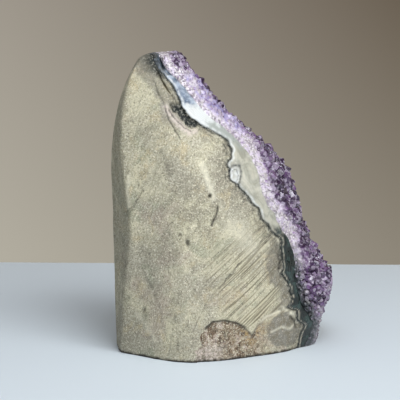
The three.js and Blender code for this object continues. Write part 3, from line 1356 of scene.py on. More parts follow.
@dataclass(frozen=True)
class BasaltFinish:
    """Ground basalt: yellow-grey with green, pink and warm clouds, fine grain, stains, saw marks and
    painted shade on the left strip.
    """

    pale: Colour = tone(206, 199, 171)
    grey: Colour = tone(170, 164, 146)
    slate: Colour = tone(118, 112, 96)
    warm: Colour = tone(198, 182, 146)
    green: Colour = tone(154, 156, 134)
    pink: Colour = tone(178, 163, 149)
    soil: Colour = tone(84, 76, 62)
    chalk: Colour = tone(236, 230, 208)
    dark: Colour = tone(44, 39, 33)
    contact: Colour = tone(30, 34, 32)
    scratch: Colour = tone(198, 190, 164)
    groove: Colour = tone(112, 104, 84)
    ash: Colour = tone(128, 126, 117)
    rust: Colour = tone(132, 110, 86)
    gold: Colour = tone(184, 156, 108)
    umber: Colour = tone(76, 58, 48)
    rubble: Colour = tone(214, 200, 190)

    def material(self) -> Material:
        """Builds the finish.

        Returns:
            The material.
        """
        b = Bench("ground_basalt")
        # Grey patches of the stone, and painted shade on the left strip that faces away from the key light.
        grime = b.times(b.read("grime"), b.patches((0.32, 0.6), size=5, detail=5, rough=0.7, warp=0.5))
        colour = b.lay(self._clouds(b), b.mix(0.7, self.grey, self.slate), grime, 0.75)
        speck = b.patches((0.5, 0.64), size=0.7, rough=0.8)
        glint = b.patches((0.52, 0.66), size=0.75, rough=0.8, stretch=(1, 0.9, 1))
        colour = b.lay(colour, self.soil, speck, 0.6)
        colour = b.lay(colour, self.chalk, glint, 0.8)
        pepper = b.patches((0.6, 0.68), size=0.9, rough=0.8, stretch=(1, 1, 1.1))
        colour = b.lay(colour, self.dark, pepper, 0.8)
        colour = self._sawn(b, colour)
        ash = b.mix(b.patches((0.4, 0.6), size=2.6, detail=4, rough=0.7, warp=0.6), self.ash, self.slate)
        ash = b.lay(ash, self.rubble, glint, 0.5)
        colour = b.mix(b.read("ash"), colour, ash)
        colour = b.mix(b.read("recess"), colour, self._broken(b))
        colour = b.mix(b.read("rust"), colour, self._gilt(b))
        grit = b.mix(b.patches((0.44, 0.58), size=1.1, detail=4, rough=0.85), self.rubble, self.slate)
        colour = b.mix(b.read("grit"), colour, grit)
        dirt = b.times(b.read("dirt"), b.patches((0.42, 0.6), size=1.6, detail=4, rough=0.75, warp=0.4))
        colour = b.lay(colour, b.mix(0.5, self.slate, self.dark), dirt, 0.75)
        lip = b.mix(b.patches((0.5, 0.66), size=1.2, rough=0.7), self.rubble, self.grey)
        colour = b.mix(b.read("lip"), colour, lip)
        colour = b.mix(b.read("milk"), colour, self.chalk)
        colour = b.mix(b.read("dark"), colour, self.dark)
        seam = b.mix(b.patches((0.52, 0.58), size=1.3, rough=0.8), self.contact, self.ash)
        colour = b.mix(b.read("seam"), colour, seam)
        relief = b.relief(b.grain(size=1.8, detail=4, rough=0.65), deep=0.12, strength=0.45)
        relief = b.relief(b.grain(size=0.6, detail=4, rough=0.8), deep=0.09, strength=0.75, under=relief)
        gloss = b.patches((0.3, 0.7), size=6)
        b.set(Base_Color=colour, Normal=relief)
        b.set(Roughness=b.plus(b.times(gloss, 0.18), 0.66))
        b.set(Specular_IOR_Level=0.35)
        return b.material

    def _clouds(self, b: Bench) -> Socket:
        """The soft broad colour fields and the streaks that cross them.

        Args:
            b: The material under construction.

        Returns:
            The colour.
        """
        clouds = b.mix(b.patches((0.4, 0.6), size=30, detail=4, rough=0.55, warp=0.5), self.grey, self.pale)
        for tint, edge, size, detail, warp in (
                (self.pink, (0.52, 0.66), 19, 4, 0.4), (self.green, (0.52, 0.66), 13, 5, 0.6),
                (self.warm, (0.54, 0.68), 9, 5, 0.6)):
            cloud = b.patches(edge, size=size, detail=detail, rough=0.6, warp=warp)
            clouds = b.lay(clouds, tint, cloud, 0.7)
        wide = b.patches((0.5, 0.66), size=2.4, detail=4, rough=0.6, warp=0.5, stretch=(1, 1, 5), turn=28)
        clouds = b.lay(clouds, self.slate, wide, 0.28)
        thin = b.patches((0.56, 0.68), size=1.1, rough=0.6, warp=0.3, stretch=(1, 1, 9), turn=24)
        clouds = b.lay(clouds, self.chalk, thin, 0.3)
        mottle = b.patches((0.5, 0.62), size=3.4, detail=5, rough=0.72, warp=0.5)
        return b.lay(clouds, self.slate, mottle, 0.28)

    def _sawn(self, b: Bench, colour: Socket) -> Socket:
        """The long pale and dark lines that the saw left, over a colour.

        Args:
            b: The material under construction.
            colour: The colour under the lines.

        Returns:
            The colour with the lines.
        """
        zone, tilt = b.read("saw"), -SawScratches().angle
        pale = b.patches((0.45, 0.6), size=1.1, detail=2, rough=0.6, stretch=(30, 18, 1), turn=tilt)
        dark = b.patches((0.53, 0.62), size=0.7, detail=2, rough=0.6, stretch=(38, 26, 1), turn=tilt)
        colour = b.lay(colour, self.scratch, zone, b.times(pale, 0.7))
        colour = b.lay(colour, self.groove, zone, b.times(dark, 0.8))
        return b.mix(b.read("groove"), colour, self.groove)

    def _gilt(self, b: Bench) -> Socket:
        """The golden stain at the dip of the recess.

        Args:
            b: The material under construction.

        Returns:
            The colour.
        """
        stain = b.patches((0.46, 0.56), size=2.6, detail=4, rough=0.7, warp=0.5)
        field = b.mix(stain, self.gold, self.umber)
        return b.lay(field, self.chalk, b.patches((0.52, 0.6), size=0.9, rough=0.8), 0.7)

    def _broken(self, b: Bench) -> Socket:
        """The brown broken rock of the recess with its pale grains.

        Args:
            b: The material under construction.

        Returns:
            The colour.
        """
        field = b.ramp(b.grain(size=4.2, detail=6, rough=0.75, warp=0.6), (
            (0.42, self.umber), (0.5, self.rust), (0.58, self.pink), (0.68, self.rubble)))
        fine = b.mix(b.patches((0.5, 0.58), size=0.9, rough=0.75), field, self.umber)
        field = b.mix(0.7, field, fine)
        grains = b.patches((0.54, 0.62), size=0.8, rough=0.8, stretch=(1, 0.9, 1))
        return b.lay(field, self.chalk, grains, 0.8)


@dataclass(frozen=True)
class AgateFinish:
    """Banded chalcedony: blue-grey on top, then white, green-grey in the middle, dark green below."""

    blue: Colour = tone(100, 114, 134)
    ice: Colour = tone(156, 167, 184)
    white: Colour = tone(218, 219, 217)
    mist: Colour = tone(164, 168, 162)
    moss: Colour = tone(156, 154, 140)
    pale_moss: Colour = tone(192, 188, 172)
    ink: Colour = tone(24, 31, 31)
    fir: Colour = tone(52, 70, 67)
    line: Colour = tone(122, 122, 112)
    sand: Colour = tone(192, 184, 166)
    blue_edge: Span = (0.855, 0.825)
    white_edge: Span = (0.785, 0.765)
    mist_edge: Span = (0.735, 0.68)
    moss_edge: Span = (0.44, 0.40)
    sand_edge: Span = (0.5, 0.42)
    growth_lines: float = 44.0

    def material(self) -> Material:
        """Builds the finish.

        Returns:
            The material.
        """
        b = Bench("banded_agate")
        level, across = b.read("level"), b.read("across")
        high = b.mix(b.patches((0.42, 0.62), size=3, detail=4, rough=0.65, warp=0.4), self.blue, self.ice)
        middle = b.mix(b.patches((0.4, 0.62), size=7, detail=4, rough=0.6, warp=0.6),
                       self.moss, self.pale_moss)
        low = b.mix(b.patches((0.46, 0.6), size=3.2, detail=5, rough=0.7, warp=0.6), self.ink, self.fir)
        wander = b.times(b.minus(b.grain(size=5, detail=4, rough=0.6), 0.5), 0.09, False)
        level = b.plus(level, wander)
        colour = b.mix(b.band(level, *self.blue_edge), high, self.white)
        colour = b.mix(b.band(level, *self.white_edge), colour, self.mist)
        colour = b.mix(b.band(level, *self.mist_edge), colour, middle)
        colour = b.mix(b.band(level, *self.moss_edge), colour, low)
        stripes = self._stripes(b, across)
        colour = b.lay(colour, self.line, stripes, 0.15)
        milk = b.mix(b.band(level, *self.sand_edge), self.white, self.sand)
        colour = b.mix(b.read("milk"), colour, milk)
        colour = b.mix(b.read("dark"), colour, self.ink)
        relief = b.relief(stripes, deep=0.05, strength=0.5)
        relief = b.relief(b.grain(size=1.2), deep=0.05, strength=0.4, under=relief)
        b.set(Base_Color=colour, Normal=relief)
        b.set(Roughness=b.plus(b.times(b.grain(size=3), 0.25), 0.18))
        b.set(Subsurface_Weight=0.35, Subsurface_Radius=(1.0, 0.9, 0.8), Subsurface_Scale=0.003)
        b.set(Specular_IOR_Level=0.5)
        return b.material

    def _stripes(self, b: Bench, across: Socket) -> Socket:
        """Thin growth lines that follow the contact."""
        wavy = b.plus(across, b.times(b.grain(size=4), 0.35), False)
        return b.band(b.sum("SINE", b.times(wavy, self.growth_lines, False)), 0.1, 0.9)


@dataclass(frozen=True)
class AmethystFinish:
    """Quartz: white and sugary at the root, then lilac to deep purple see-through points, with painted
    shade, highlights, sparkle and sky reflection.
    """

    milk: Colour = tone(184, 175, 175)
    lilac: Colour = tone(182, 168, 182)
    violet: Colour = tone(164, 138, 174)
    purple: Colour = tone(133, 97, 148)
    # Light lavender of the painted facet highlights.
    facet_highlight: Colour = tone(218, 204, 224)
    # Painted reflection of the sky on the crust's top.
    sky: Colour = tone(174, 166, 210)
    # Greyed violet of the painted shade between sugary grains.
    fleck_shade: Colour = tone(134, 123, 139)
    deep: Colour = tone(50, 26, 62)
    frost: Colour = tone(240, 234, 238)
    grey: Colour = tone(96, 98, 100)
    moss: Colour = tone(56, 64, 66)
    absorbed: Colour = (0.42, 0.2, 0.62)
    density: float = 70.0
    index: float = 1.544

    def material(self) -> Material:
        """Builds the finish.

        Returns:
            The material.
        """
        b = Bench("amethyst_quartz")
        own = b.times(b.minus(b.read("shade"), 0.5), 1.2, False)
        veins = b.times(b.minus(b.grain(size=2.2, detail=4, rough=0.65), 0.5), 0.7, False)
        growth = b.plus(b.plus(b.read("growth"), own), veins)
        colour = b.ramp(growth, ((0.0, self.milk), (0.25, self.lilac), (0.48, self.violet),
                                 (0.7, self.purple), (0.98, self.deep)))
        # Painted shade: places low between the points are darkened towards deep purple.
        hollow = b.times(b.read("hollow"), b.band(b.read("growth"), 0.15, 0.6))
        colour = b.lay(colour, self.deep, hollow, 0.7)
        # Painted reflection: a lavender-blue sky tint laid on the top of the crust.
        sky = b.times(b.read("sky"), b.patches((0.44, 0.56), size=5, detail=4, rough=0.6, warp=0.4))
        colour = b.lay(colour, self.sky, sky, 0.8)
        flecks = b.cells(0.9, "Color")
        frost = b.times(b.read("frost"), b.minus(1.0, b.times(sky, 0.9)))
        rough = b.patches((0.36, 0.6), size=3.5, detail=4, rough=0.7, warp=0.5)
        # White flecks: white sugary grains, partly painted sparkle.
        colour = b.lay(colour, self.frost, b.times(b.band(flecks, 0.5, 0.56), rough), frost)
        # Painted shade: greyed violet flecks between the grains.
        colour = b.lay(colour, self.fleck_shade, b.times(b.band(flecks, 0.42, 0.36), 0.9), frost)
        # Painted shade on random facets of the purple points.
        facet_shade = b.times(b.band(b.cells(2.4, "Color"), 0.36, 0.3), b.band(b.read("growth"), 0.2, 0.6))
        colour = b.lay(colour, self.deep, facet_shade, 0.6)
        # Painted highlights on random facets.
        colour = b.lay(colour, self.facet_highlight, b.band(b.cells(1.4, "Color"), 0.62, 0.68), 0.55)
        colour = b.lay(colour, self.deep, b.band(own, 0.7, 1.2), 0.8)
        dirt = b.times(b.read("dirt"), b.patches((0.3, 0.6), size=2.5, detail=4, rough=0.65))
        colour = b.lay(colour, self.grey, dirt, 0.85)
        moss = b.times(b.read("moss"), b.patches((0.28, 0.5), size=1.8, detail=4, rough=0.7))
        colour = b.lay(colour, self.moss, moss, 0.95)
        clear = b.times(b.band(b.read("growth"), 0.1, 0.7), 0.32)
        relief = b.relief(b.cells(0.8, "Distance"), deep=0.12, strength=0.28)
        b.set(Base_Color=colour, Normal=relief)
        b.set(Transmission_Weight=clear)
        b.set(Roughness=b.plus(b.times(b.band(b.read("growth"), 0.6, 0.0), 0.26), 0.12))
        b.set(IOR=self.index)
        volume = b.make("VolumeAbsorption", Color=self.absorbed, Density=self.density)
        b.links.new(volume.outputs["Volume"], b.output.inputs["Volume"])
        return b.material


@dataclass(frozen=True)
class PlainFinish:
    """A plain matt finish for the floor."""

    name: str
    colour: Colour
    roughness: float

    def material(self) -> Material:
        """Builds the finish.

        Returns:
            The material.
        """
        b = Bench(self.name)
        b.set(Base_Color=(*self.colour, 1), Roughness=self.roughness)
        return b.material


# ---- Sub-assemblies ----


@dataclass
class Stone:
    """What the three layers share: the marked skin and the two contacts."""

    skin: StoneSkin = field(default_factory=StoneSkin)
    rock_contact: Contact = field(default_factory=lambda: Contact(
        (Layer.ROCK,), (Layer.RIND, Layer.CRUST), 31, ROCK_LOBES, ripple=1.4))
    quartz_contact: Contact = field(default_factory=lambda: Contact(
        (Layer.RIND,), (Layer.CRUST,), 32, QUARTZ_LOBES, wander=0.9, ripple=0.9, scallop=0.6))
    layer_gap: float = 0.08

    def __post_init__(self) -> None:
        """Marks the skin."""
        self.side = GroundSide(self.rock_contact, self.quartz_contact)
        self.bed = self.skin.grid()
        self.marked = self.side.shaped(self.bed)

    def blank_object(self, name: str, every: int = 1) -> Piece:
        """A fresh copy of the whole stone, with every so many columns of its skin."""
        return self.skin.closed(self.marked, every).to_object(name)


class Reading:
    """What the ground side reads at some places of the rock: where they lie, and its noise there."""

    def __init__(self, side: GroundSide, points: Array) -> None:
        """Takes the readings.

        Args:
            side: The ground side.
            points: Places in millimetres.
        """
        self.side, self.points = side, points
        self.flat, self.near = points[:, [0, 2]], side.near(points)
        self.across, self.heights = points[:, 0], points[:, 2]
        self.ahead = side.rock_contact.ahead_of(points)
        self.fine = side.fine.layered(points, 2.0, 3, 0.6)
        self.blotch = side.coarse.layered(points, 5, 3, 0.6)


@dataclass
class BasaltMatrix:
    """The host rock behind the contact."""

    stone: Stone
    finish: BasaltFinish = BasaltFinish()
    stain: Line = ((9.6, 12.0), (12.5, 8.5), (16.5, 12.0), (21.5, 15.5))
    stain_width: float = 2.6
    # Strength of the painted shade on the left strip.
    left_grime: float = 0.85

    def build(self) -> Piece:
        """Cuts the rock from the stone and dresses it.

        Returns:
            The finished piece.
        """
        piece = self.stone.blank_object("basalt_rock")
        boolean(piece, self.stone.rock_contact.tool("rock_tool", 0), "DIFFERENCE")
        drop_crumbs(piece)
        self._tone(piece)
        dress(piece, self.finish.material(), True)
        return piece

    def _tone(self, piece: Piece) -> None:
        """Stores where the rock is stained, scratched, dark or milky, and where painted shade darkens its
        left strip.

        Args:
            piece: The rock.
        """
        at = Reading(self.stone.side, mesh_points(piece))
        side, marks, near, fine, blotch = at.side, at.side.marks, at.near, at.fine, at.blotch
        ragged = at.flat + 0.9 * side.fine.layered(at.points, 2.2, 2)[:, None]
        pocket = near * marks.vug.inside(ragged, at.ahead)
        brown = marks.recess.brown(at.flat, side.fine.at(at.points, 2))
        saw = marks.saw.zone(at.points, side.coarse) * near
        grooves = marks.saw.grooves(at.points, side.fine)
        rust = bell(path_distance(at.flat, self.stain), self.stain_width)
        grit = eased(9, 5, at.heights + 4 * blotch) * eased(3, -4, at.across + 5 * blotch)
        # Painted shade: the left strip, turned away from the key light, is darkened towards slate.
        grime = self.left_grime * eased(-40, -45, at.across)
        for patch in marks.grime:
            spot = eased(1.35, 0.4, patch.away(at.flat) + 0.4 * blotch)
            grime = np.maximum(grime, near * patch.dark * spot)
        line = bell(at.ahead + 0.15, side.seam_width(at.points)) * held(1.0 + 0.6 * fine)
        line = np.maximum(line, 0.7 * bell(at.ahead + 2.0, 0.45) * held(0.3 + 1.6 * blotch))
        store(
            piece,
            saw=saw,
            groove=0.5 * saw * eased(0.35, 0.8, grooves),
            recess=near * brown * held(0.9 + 0.6 * fine),
            ash=near * self._ash(at),
            rust=near * 0.9 * rust * brown * held(0.7 + 1.2 * fine),
            grit=near * 0.75 * brown * grit,
            grime=grime,
            dark=held(self._dark(at)),
            seam=held(np.maximum(line, pocket * held(1.2 + fine))),
            milk=held(self._milk(at)),
            lip=near * 0.9 * marks.vug.lip(at.flat) * (1 - pocket),
            dirt=bell(np.minimum(at.ahead + 0.5, 0), 4.5 + 3.5 * blotch),
        )

    @staticmethod
    def _dark(at: Reading) -> Array:
        """How dark the cracks, the pits, the recess's rim and the foot line (chips and painted contact
        shadow) are.

        Args:
            at: The ground side's readings.

        Returns:
            One value a place.
        """
        marks, worn = at.side.marks, at.side.worn(at.points)
        dip = marks.recess.dip
        dark = np.zeros(len(at.points))
        for mark in (*marks.cracks, *marks.pits):
            dark = np.maximum(dark, at.near * mark.dark * mark.reach(worn) * held(0.9 + at.fine))
        left_rim = eased(dip + 1, dip, at.across) * eased(14, 17, at.heights)
        rim = held(left_rim + 0.7 * bell(at.across - dip + 1, 4))
        dark = np.maximum(dark, at.near * bell(marks.recess.rim(at.flat) + 0.4 * at.fine, 0.5) * rim)
        # Dark line round the foot: chips, and painted contact shadow where the stone meets the floor.
        foot_chips_and_shadow = eased(1.7, 0.5, at.heights - 0.9 * at.fine) * held(1.0 + 1.5 * at.blotch)
        return np.maximum(dark, foot_chips_and_shadow)

    @staticmethod
    def _ash(at: Reading) -> Array:
        """How ash-grey the foot's patch is, and the strips along the low and the high contact.

        Args:
            at: The ground side's readings.

        Returns:
            One value a place.
        """
        patch = 0.95 * eased(1.05, 0.9, at.side.marks.ash.away(at.flat) + 0.15 * at.fine)
        low = eased(18, 24, at.heights) * eased(58, 50, at.heights)
        low = 0.8 * low * eased(-8.5, -4.5, at.ahead + 4 * at.blotch)
        high = eased(-10, -8, at.ahead + 1.5 * at.fine) * eased(104, 110, at.heights)
        return np.maximum(np.maximum(patch, low), 0.6 * high)

    @staticmethod
    def _milk(at: Reading) -> Array:
        """How chalky the line behind the contact, the chalk streaks and the recess's right rim are.

        Args:
            at: The ground side's readings.

        Returns:
            One value a place.
        """
        marks = at.side.marks
        dip = marks.recess.dip
        milk = 0.75 * bell(at.ahead + 1.1, 0.35) * held(0.3 + 1.8 * at.fine)
        for mark in marks.chalks:
            milk = np.maximum(milk, at.near * mark.dark * mark.reach(at.flat) * held(0.8 + 0.6 * at.fine))
        rim = bell(marks.recess.rim(at.flat), 0.45) * eased(dip + 3, dip + 6, at.across)
        return milk + at.near * 0.6 * rim


@dataclass
class AgateRind:
    """The chalcedony band between the rock and the quartz."""

    stone: Stone
    finish: AgateFinish = AgateFinish()

    def build(self) -> Piece:
        """Cuts the rind from the stone and dresses it.

        Returns:
            The finished piece.
        """
        stone = self.stone
        piece = stone.blank_object("agate_band")
        boolean(piece, stone.rock_contact.tool("rind_back", stone.layer_gap), "INTERSECT")
        boolean(piece, stone.quartz_contact.tool("rind_front", 0), "DIFFERENCE")
        drop_crumbs(piece)
        points = mesh_points(piece)
        side = stone.side
        back = side.rock_contact.ahead_of(points)
        front = -side.quartz_contact.ahead_of(points)
        flat, near = points[:, [0, 2]], side.near(points)
        fine = side.fine.layered(points, 3, 3)
        away = side.marks.nodule.away(flat) + 0.35 * fine
        nodule = near * eased(1.05, 0.8, away) * held(0.55 + 1.2 * fine)
        grit = side.fine.layered(points + 60, 1.6, 3, 0.7)
        low = eased(62, 52, points[:, 2])
        ink = (0.45 + 7.0 * eased(128, 133, points[:, 2] + 4 * fine)) * (1 + 0.9 * fine)
        milk = 0.9 * bell(back - 0.9, 0.5 - 0.15 * low) * held(0.75 + 1.8 * grit)
        milk += 0.35 * (1 - low) * bell(front, 1.3) * held(0.2 + 2.2 * grit)
        line = low * bell(back - 1.75, 0.35)
        growth = 0.75 * bell(away - 0.62, 0.06)
        edge = near * held(0.9 + 1.5 * grit) * (0.9 * bell(away - 1.08, 0.16) + growth)
        dark = 0.95 * bell(back, ink) * held(0.9 + grit) + edge + line
        store(piece, level=points[:, 2] / stone.skin.height,
              across=held(back / np.maximum(back + front, 0.1)), milk=held(nodule + milk), dark=held(dark))
        dress(piece, self.finish.material(), True)
        return piece


@dataclass
class QuartzPoint:
    """One quartz crystal along +Z, a six-sided prism closed by two sets of three faces."""

    radius: float
    shoulder: float
    root: float
    habit: Habit
    seed: int
    uneven: float = 0.12
    twist: float = 0.06
    face_twist: float = 0.05
    spare: float = 2.5
    slope: float = 50
    slope_spread: float = 3
    face_reach: float = 0.86
    minor: Span = (0.05, 0.45)
    break_height: Span = (0.3, 0.7)
    break_lean: float = 0.6
    weld: float = 0.01

    def solid(self) -> Solid:
        """Cuts the crystal out of a prism, face by face.

        Returns:
            The crystal.
        """
        rng = np.random.default_rng(self.seed)
        shape = bmesh.new()
        rim = [self.radius * (1 + rng.uniform(-self.uneven, self.uneven)) for _ in range(6)]
        turns = [math.pi / 3 * i + rng.uniform(-self.twist, self.twist) for i in range(6)]
        top = self.shoulder + self.radius * self.spare
        for level in (-self.root, top):
            for reach, turn in zip(rim, turns):
                shape.verts.new((reach * math.cos(turn), reach * math.sin(turn), level))
        bmesh.ops.convex_hull(shape, input=shape.verts)
        slope = math.radians(self.slope + rng.uniform(-self.slope_spread, self.slope_spread))
        for i in range(6):
            turn = math.pi / 3 * (i + 0.5) + rng.uniform(-self.face_twist, self.face_twist)
            minor = (i % 2) * rng.uniform(*self.minor) * self.radius
            x, y = math.cos(turn), math.sin(turn)
            point = (x * self.radius * self.face_reach, y * self.radius * self.face_reach,
                     self.shoulder + minor)
            self._slice(shape, point, (x * math.sin(slope), y * math.sin(slope), math.cos(slope)))
        if self.habit is Habit.BROKEN:
            tip = (0, 0, self.shoulder + self.radius * rng.uniform(*self.break_height))
            lean = self.break_lean
            self._slice(shape, tip, (rng.uniform(-lean, lean), rng.uniform(-lean, lean), 1))
        bmesh.ops.remove_doubles(shape, verts=shape.verts, dist=self.weld)
        bmesh.ops.recalc_face_normals(shape, faces=shape.faces)
        shape.verts.ensure_lookup_table()
        shape.verts.index_update()
        points = np.array([v.co for v in shape.verts])
        faces = [tuple(v.index for v in face.verts) for face in shape.faces]
        shape.free()
        return Solid(points, faces)

    @staticmethod
    def _slice(shape: bmesh.types.BMesh, point: tuple, normal: tuple) -> None:
        """Takes off what lies outside a plane and closes the cut.

        Args:
            shape: The crystal being cut.
            point: A point on the plane.
            normal: The way out.
        """
        geometry = shape.verts[:] + shape.edges[:] + shape.faces[:]
        cut = bmesh.ops.bisect_plane(shape, geom=geometry, plane_co=point, plane_no=normal,
                                     clear_outer=True, dist=1e-4)
        rim = [e for e in cut["geom_cut"] if isinstance(e, bmesh.types.BMEdge)]
        if len(rim) > 2:
            bmesh.ops.contextual_create(shape, geom=rim)


@dataclass(frozen=True)
class CrustBand:
    """How the crust has grown at one height.

    The white root reaches as far as the purple's start; the purple is full at its end.
    """

    height: float
    frost: float
    start: float
    full: float
    purple: float
    largest: float


CRUST_BANDS = tuple(CrustBand(*row) for row in (
    (0, 0.05, 0.3, 3, 0.25, 0.9),
    (12, 0.1, 0.3, 4, 0.4, 1.5),
    (25, 0.4, 0.3, 4.5, 0.65, 2.0),
    (38, 0.5, 0.5, 7, 0.75, 2.3),
    (50, 0.6, 1.5, 8, 0.9, 2.5),
    (57, 0.7, 5.0, 10, 0.8, 2.6),
    (62, 0.6, 3.2, 7.6, 0.9, 3.0),
    (72, 0.55, 2.6, 7, 1.0, 3.2),
    (85, 0.55, 2.8, 7.2, 0.95, 3.3),
    (93, 0.6, 3.0, 7, 0.7, 2.8),
    (98, 0.7, 5.0, 9, 0.35, 1.6),
    (106, 0.8, 1.5, 5, 0.4, 1.7),
    (118, 0.95, 1.2, 5, 0.42, 2.4),
    (124, 1.0, 1.5, 5, 0.38, 2.2),
    (129, 1.0, 5.0, 9, 0.2, 1.2),
    (133, 0.8, 2.5, 6, 0.8, 1.8),
    (138, 0.7, 2.5, 6, 0.8, 1.4),
))


@dataclass(frozen=True)
class Point:
    """One crystal of the druse: where it stands, where it points and its size."""

    place: Array
    axis: Array
    radius: float
    shade: float


@dataclass
class AmethystDruse:
    """The quartz crust with all its points, grown together into one solid."""

    stone: Stone
    finish: AmethystFinish = AmethystFinish()
    seed: int = 77
    tries: int = 90000
    bed_step: int = 2
    small_share: float = 1.25
    sugar: float = 0.5
    packing: float = 1.35
    bare_edge: float = 0.5
    templates: int = 18
    deep_root: float = 1.1
    lean: float = 0.36
    lone: Line = ((122.7, 2.5), (113.0, 2.0), (103.5, 1.5))
    lone_shade: float = 1.6
    shade: Span = (0.5, 0.22)
    shade_range: Span = (0.2, 1)
    root_spread: float = 0.3
    order_jitter: float = 0.2
    sink: Span = (0.15, 0.7)
    clear_gap: float = 2.1
    touch: float = 0.02
    bed_rise: float = -0.2
    far_crust: CrustBand = CrustBand(80, 0.6, 2.2, 7, 0.82, 2.9)

    def build(self) -> Piece:
        """Grows the druse and dresses it.

        Returns:
            The finished piece.
        """
        stone = self.stone
        piece = stone.blank_object("amethyst_druse", self.bed_step)
        points = self._points()
        log.info("druse: %d points", len(points))
        solids = self._solids(points)
        for batch in self._batches(points):
            boolean(piece, self._joined([solids[i] for i in batch]).to_object("points"), "UNION")
        boolean(piece, stone.quartz_contact.tool("crust_back", stone.layer_gap), "INTERSECT")
        boolean(piece, self._room(), "INTERSECT")
        drop_crumbs(piece)
        self._tone(piece, points, solids)
        dress(piece, self.finish.material(), False)
        return piece

    def _band(self, name: str, places: Array) -> Array:
        """One of the bands' numbers at some places, evened out on the far side.

        Args:
            name: Which number.
            places: Places in millimetres.

        Returns:
            One value a place.
        """
        heights, values = zip(*((band.height, getattr(band, name)) for band in CRUST_BANDS))
        banded = np.interp(places[:, 2], heights, values)
        return banded + (getattr(self.far_crust, name) - banded) * self._far(places)

    def _far(self, places: Array) -> Array:
        """How much each place lies round on the far side, 0 to 1."""
        edge = places[:, 1] + 7 * self.stone.side.coarse.layered(places + 20, 15, 3)
        return eased(0, 9, edge) * eased(12, 36, places[:, 2])

    def _grown(self, places: Array) -> Array:
        """How far each place is from white root to purple, 0 to 1.

        Args:
            places: Places in millimetres.

        Returns:
            One value a place.
        """
        side = self.stone.side
        ahead = side.quartz_contact.ahead_of(places) + 2.6 * side.coarse.layered(places, 6, 4, 0.75)
        start, full = self._band("start", places), self._band("full", places)
        return eased(start, full, ahead)

    def _points(self) -> list[Point]:
        """Stands the points on the bed, large ones first, none crowding another.

        Returns:
            The crystals, in the order they were placed.
        """
        rng = np.random.default_rng(self.seed)
        skin, side, bed = self.stone.skin, self.stone.side, self.stone.bed
        normals = skin.normals(bed)
        rows = rng.integers(3, skin.rows - 2, self.tries)
        columns = rng.integers(0, skin.columns, self.tries)
        places = bed[rows, columns]
        depths = side.quartz_contact.ahead_of(places)
        patches = 0.8 + 0.4 * side.coarse.at(places, 9)
        spread = self._band("largest", places) - self.sugar
        spread = spread * rng.random(self.tries) ** self.small_share * patches
        radii = self.sugar + rng.uniform(0, self.root_spread, self.tries) + self._grown(places) * spread
        leans = rng.normal(0, self.lean, (self.tries, 3))
        shades = np.clip(rng.normal(*self.shade, self.tries), *self.shade_range)
        order = np.argsort(-radii + rng.normal(0, self.order_jitter, self.tries))
        taken = np.zeros((0, 4))
        points: list[Point] = []
        for height, radius in self.lone:
            row = int(np.searchsorted(skin.levels, height))
            column = int(np.argmax(bed[row, :, 0]))
            points.append(Point(bed[row, column], normals[row, column], radius, self.lone_shade))
            taken = np.concatenate([taken, [[*bed[row, column], radius]]])
        for index in order[depths[order] > self.bare_edge]:
            place, radius = places[index], float(radii[index])
            gaps = np.linalg.norm(taken[:, :3] - place, axis=1)
            gaps -= (taken[:, 3] + radius) * 0.5 * self.packing
            if gaps.min() < 0:
                continue
            taken = np.concatenate([taken, [[*place, radius]]])
            axis = normals[rows[index], columns[index]] + leans[index]
            points.append(Point(place, axis / np.linalg.norm(axis), radius, float(shades[index])))
        return points

    def _batches(self, points: list[Point]) -> list[Array]:
        """Sorts the points into batches whose members can't touch each other, as index lists.

        Args:
            points: The crystals.

        Returns:
            Index numbers of each batch.
        """
        places = np.array([point.place for point in points])
        radii = np.array([point.radius for point in points])
        batch = np.zeros(len(points), int)
        for i in range(1, len(points)):
            gaps = np.linalg.norm(places[:i] - places[i], axis=1)
            reach = self.clear_gap * (radii[:i] + radii[i]) + self.deep_root
            close = set(batch[:i][gaps < reach].tolist())
            batch[i] = next(number for number in range(len(close) + 1) if number not in close)
        return [np.flatnonzero(batch == number) for number in range(batch.max() + 1)]

    def _solids(self, points: list[Point]) -> list[Solid]:
        """The crystals, each drawn from a few shapes, turned and set into the bed.

        Args:
            points: The crystals.

        Returns:
            Their solids, in the same order.
        """
        shapes = self._shapes()
        rng = np.random.default_rng(self.seed + 1)
        solids: list[Solid] = []
        for point in points:
            shape = shapes[int(rng.integers(len(shapes)))]
            side = np.cross(point.axis, rng.normal(size=3))
            side /= np.linalg.norm(side)
            turned = np.stack([side, np.cross(point.axis, side), point.axis])
            corners = shape.points * point.radius
            sink = point.radius * rng.uniform(*self.sink)
            corners[:, 2] -= np.where(corners[:, 2] < 0, self.deep_root, 0) + sink
            solids.append(Solid(corners @ turned + point.place, shape.faces))
        return solids

    @staticmethod
    def _joined(solids: Sequence[Solid]) -> Solid:
        """Some solids side by side as one.

        Args:
            solids: The solids.

        Returns:
            One solid that holds them all.
        """
        starts = np.cumsum([0, *(len(solid.points) for solid in solids)])
        faces = [tuple(i + start for i in face)
                 for solid, start in zip(solids, starts) for face in solid.faces]
        return Solid(np.concatenate([solid.points for solid in solids]), faces)

    def _shapes(self) -> list[Solid]:
        """Crystals of radius 1 that the points are drawn from.

        Returns:
            The crystals, with their roots below the origin.
        """
        habits = (Habit.POINTED, Habit.POINTED, Habit.STUBBY, Habit.POINTED, Habit.POINTED, Habit.BROKEN)
        shoulders = {Habit.POINTED: 0.35, Habit.STUBBY: 0.0, Habit.BROKEN: 0.3}
        return [QuartzPoint(1.0, shoulders[habits[i % len(habits)]], 0.9, habits[i % len(habits)],
                            self.seed + i).solid() for i in range(self.templates)]

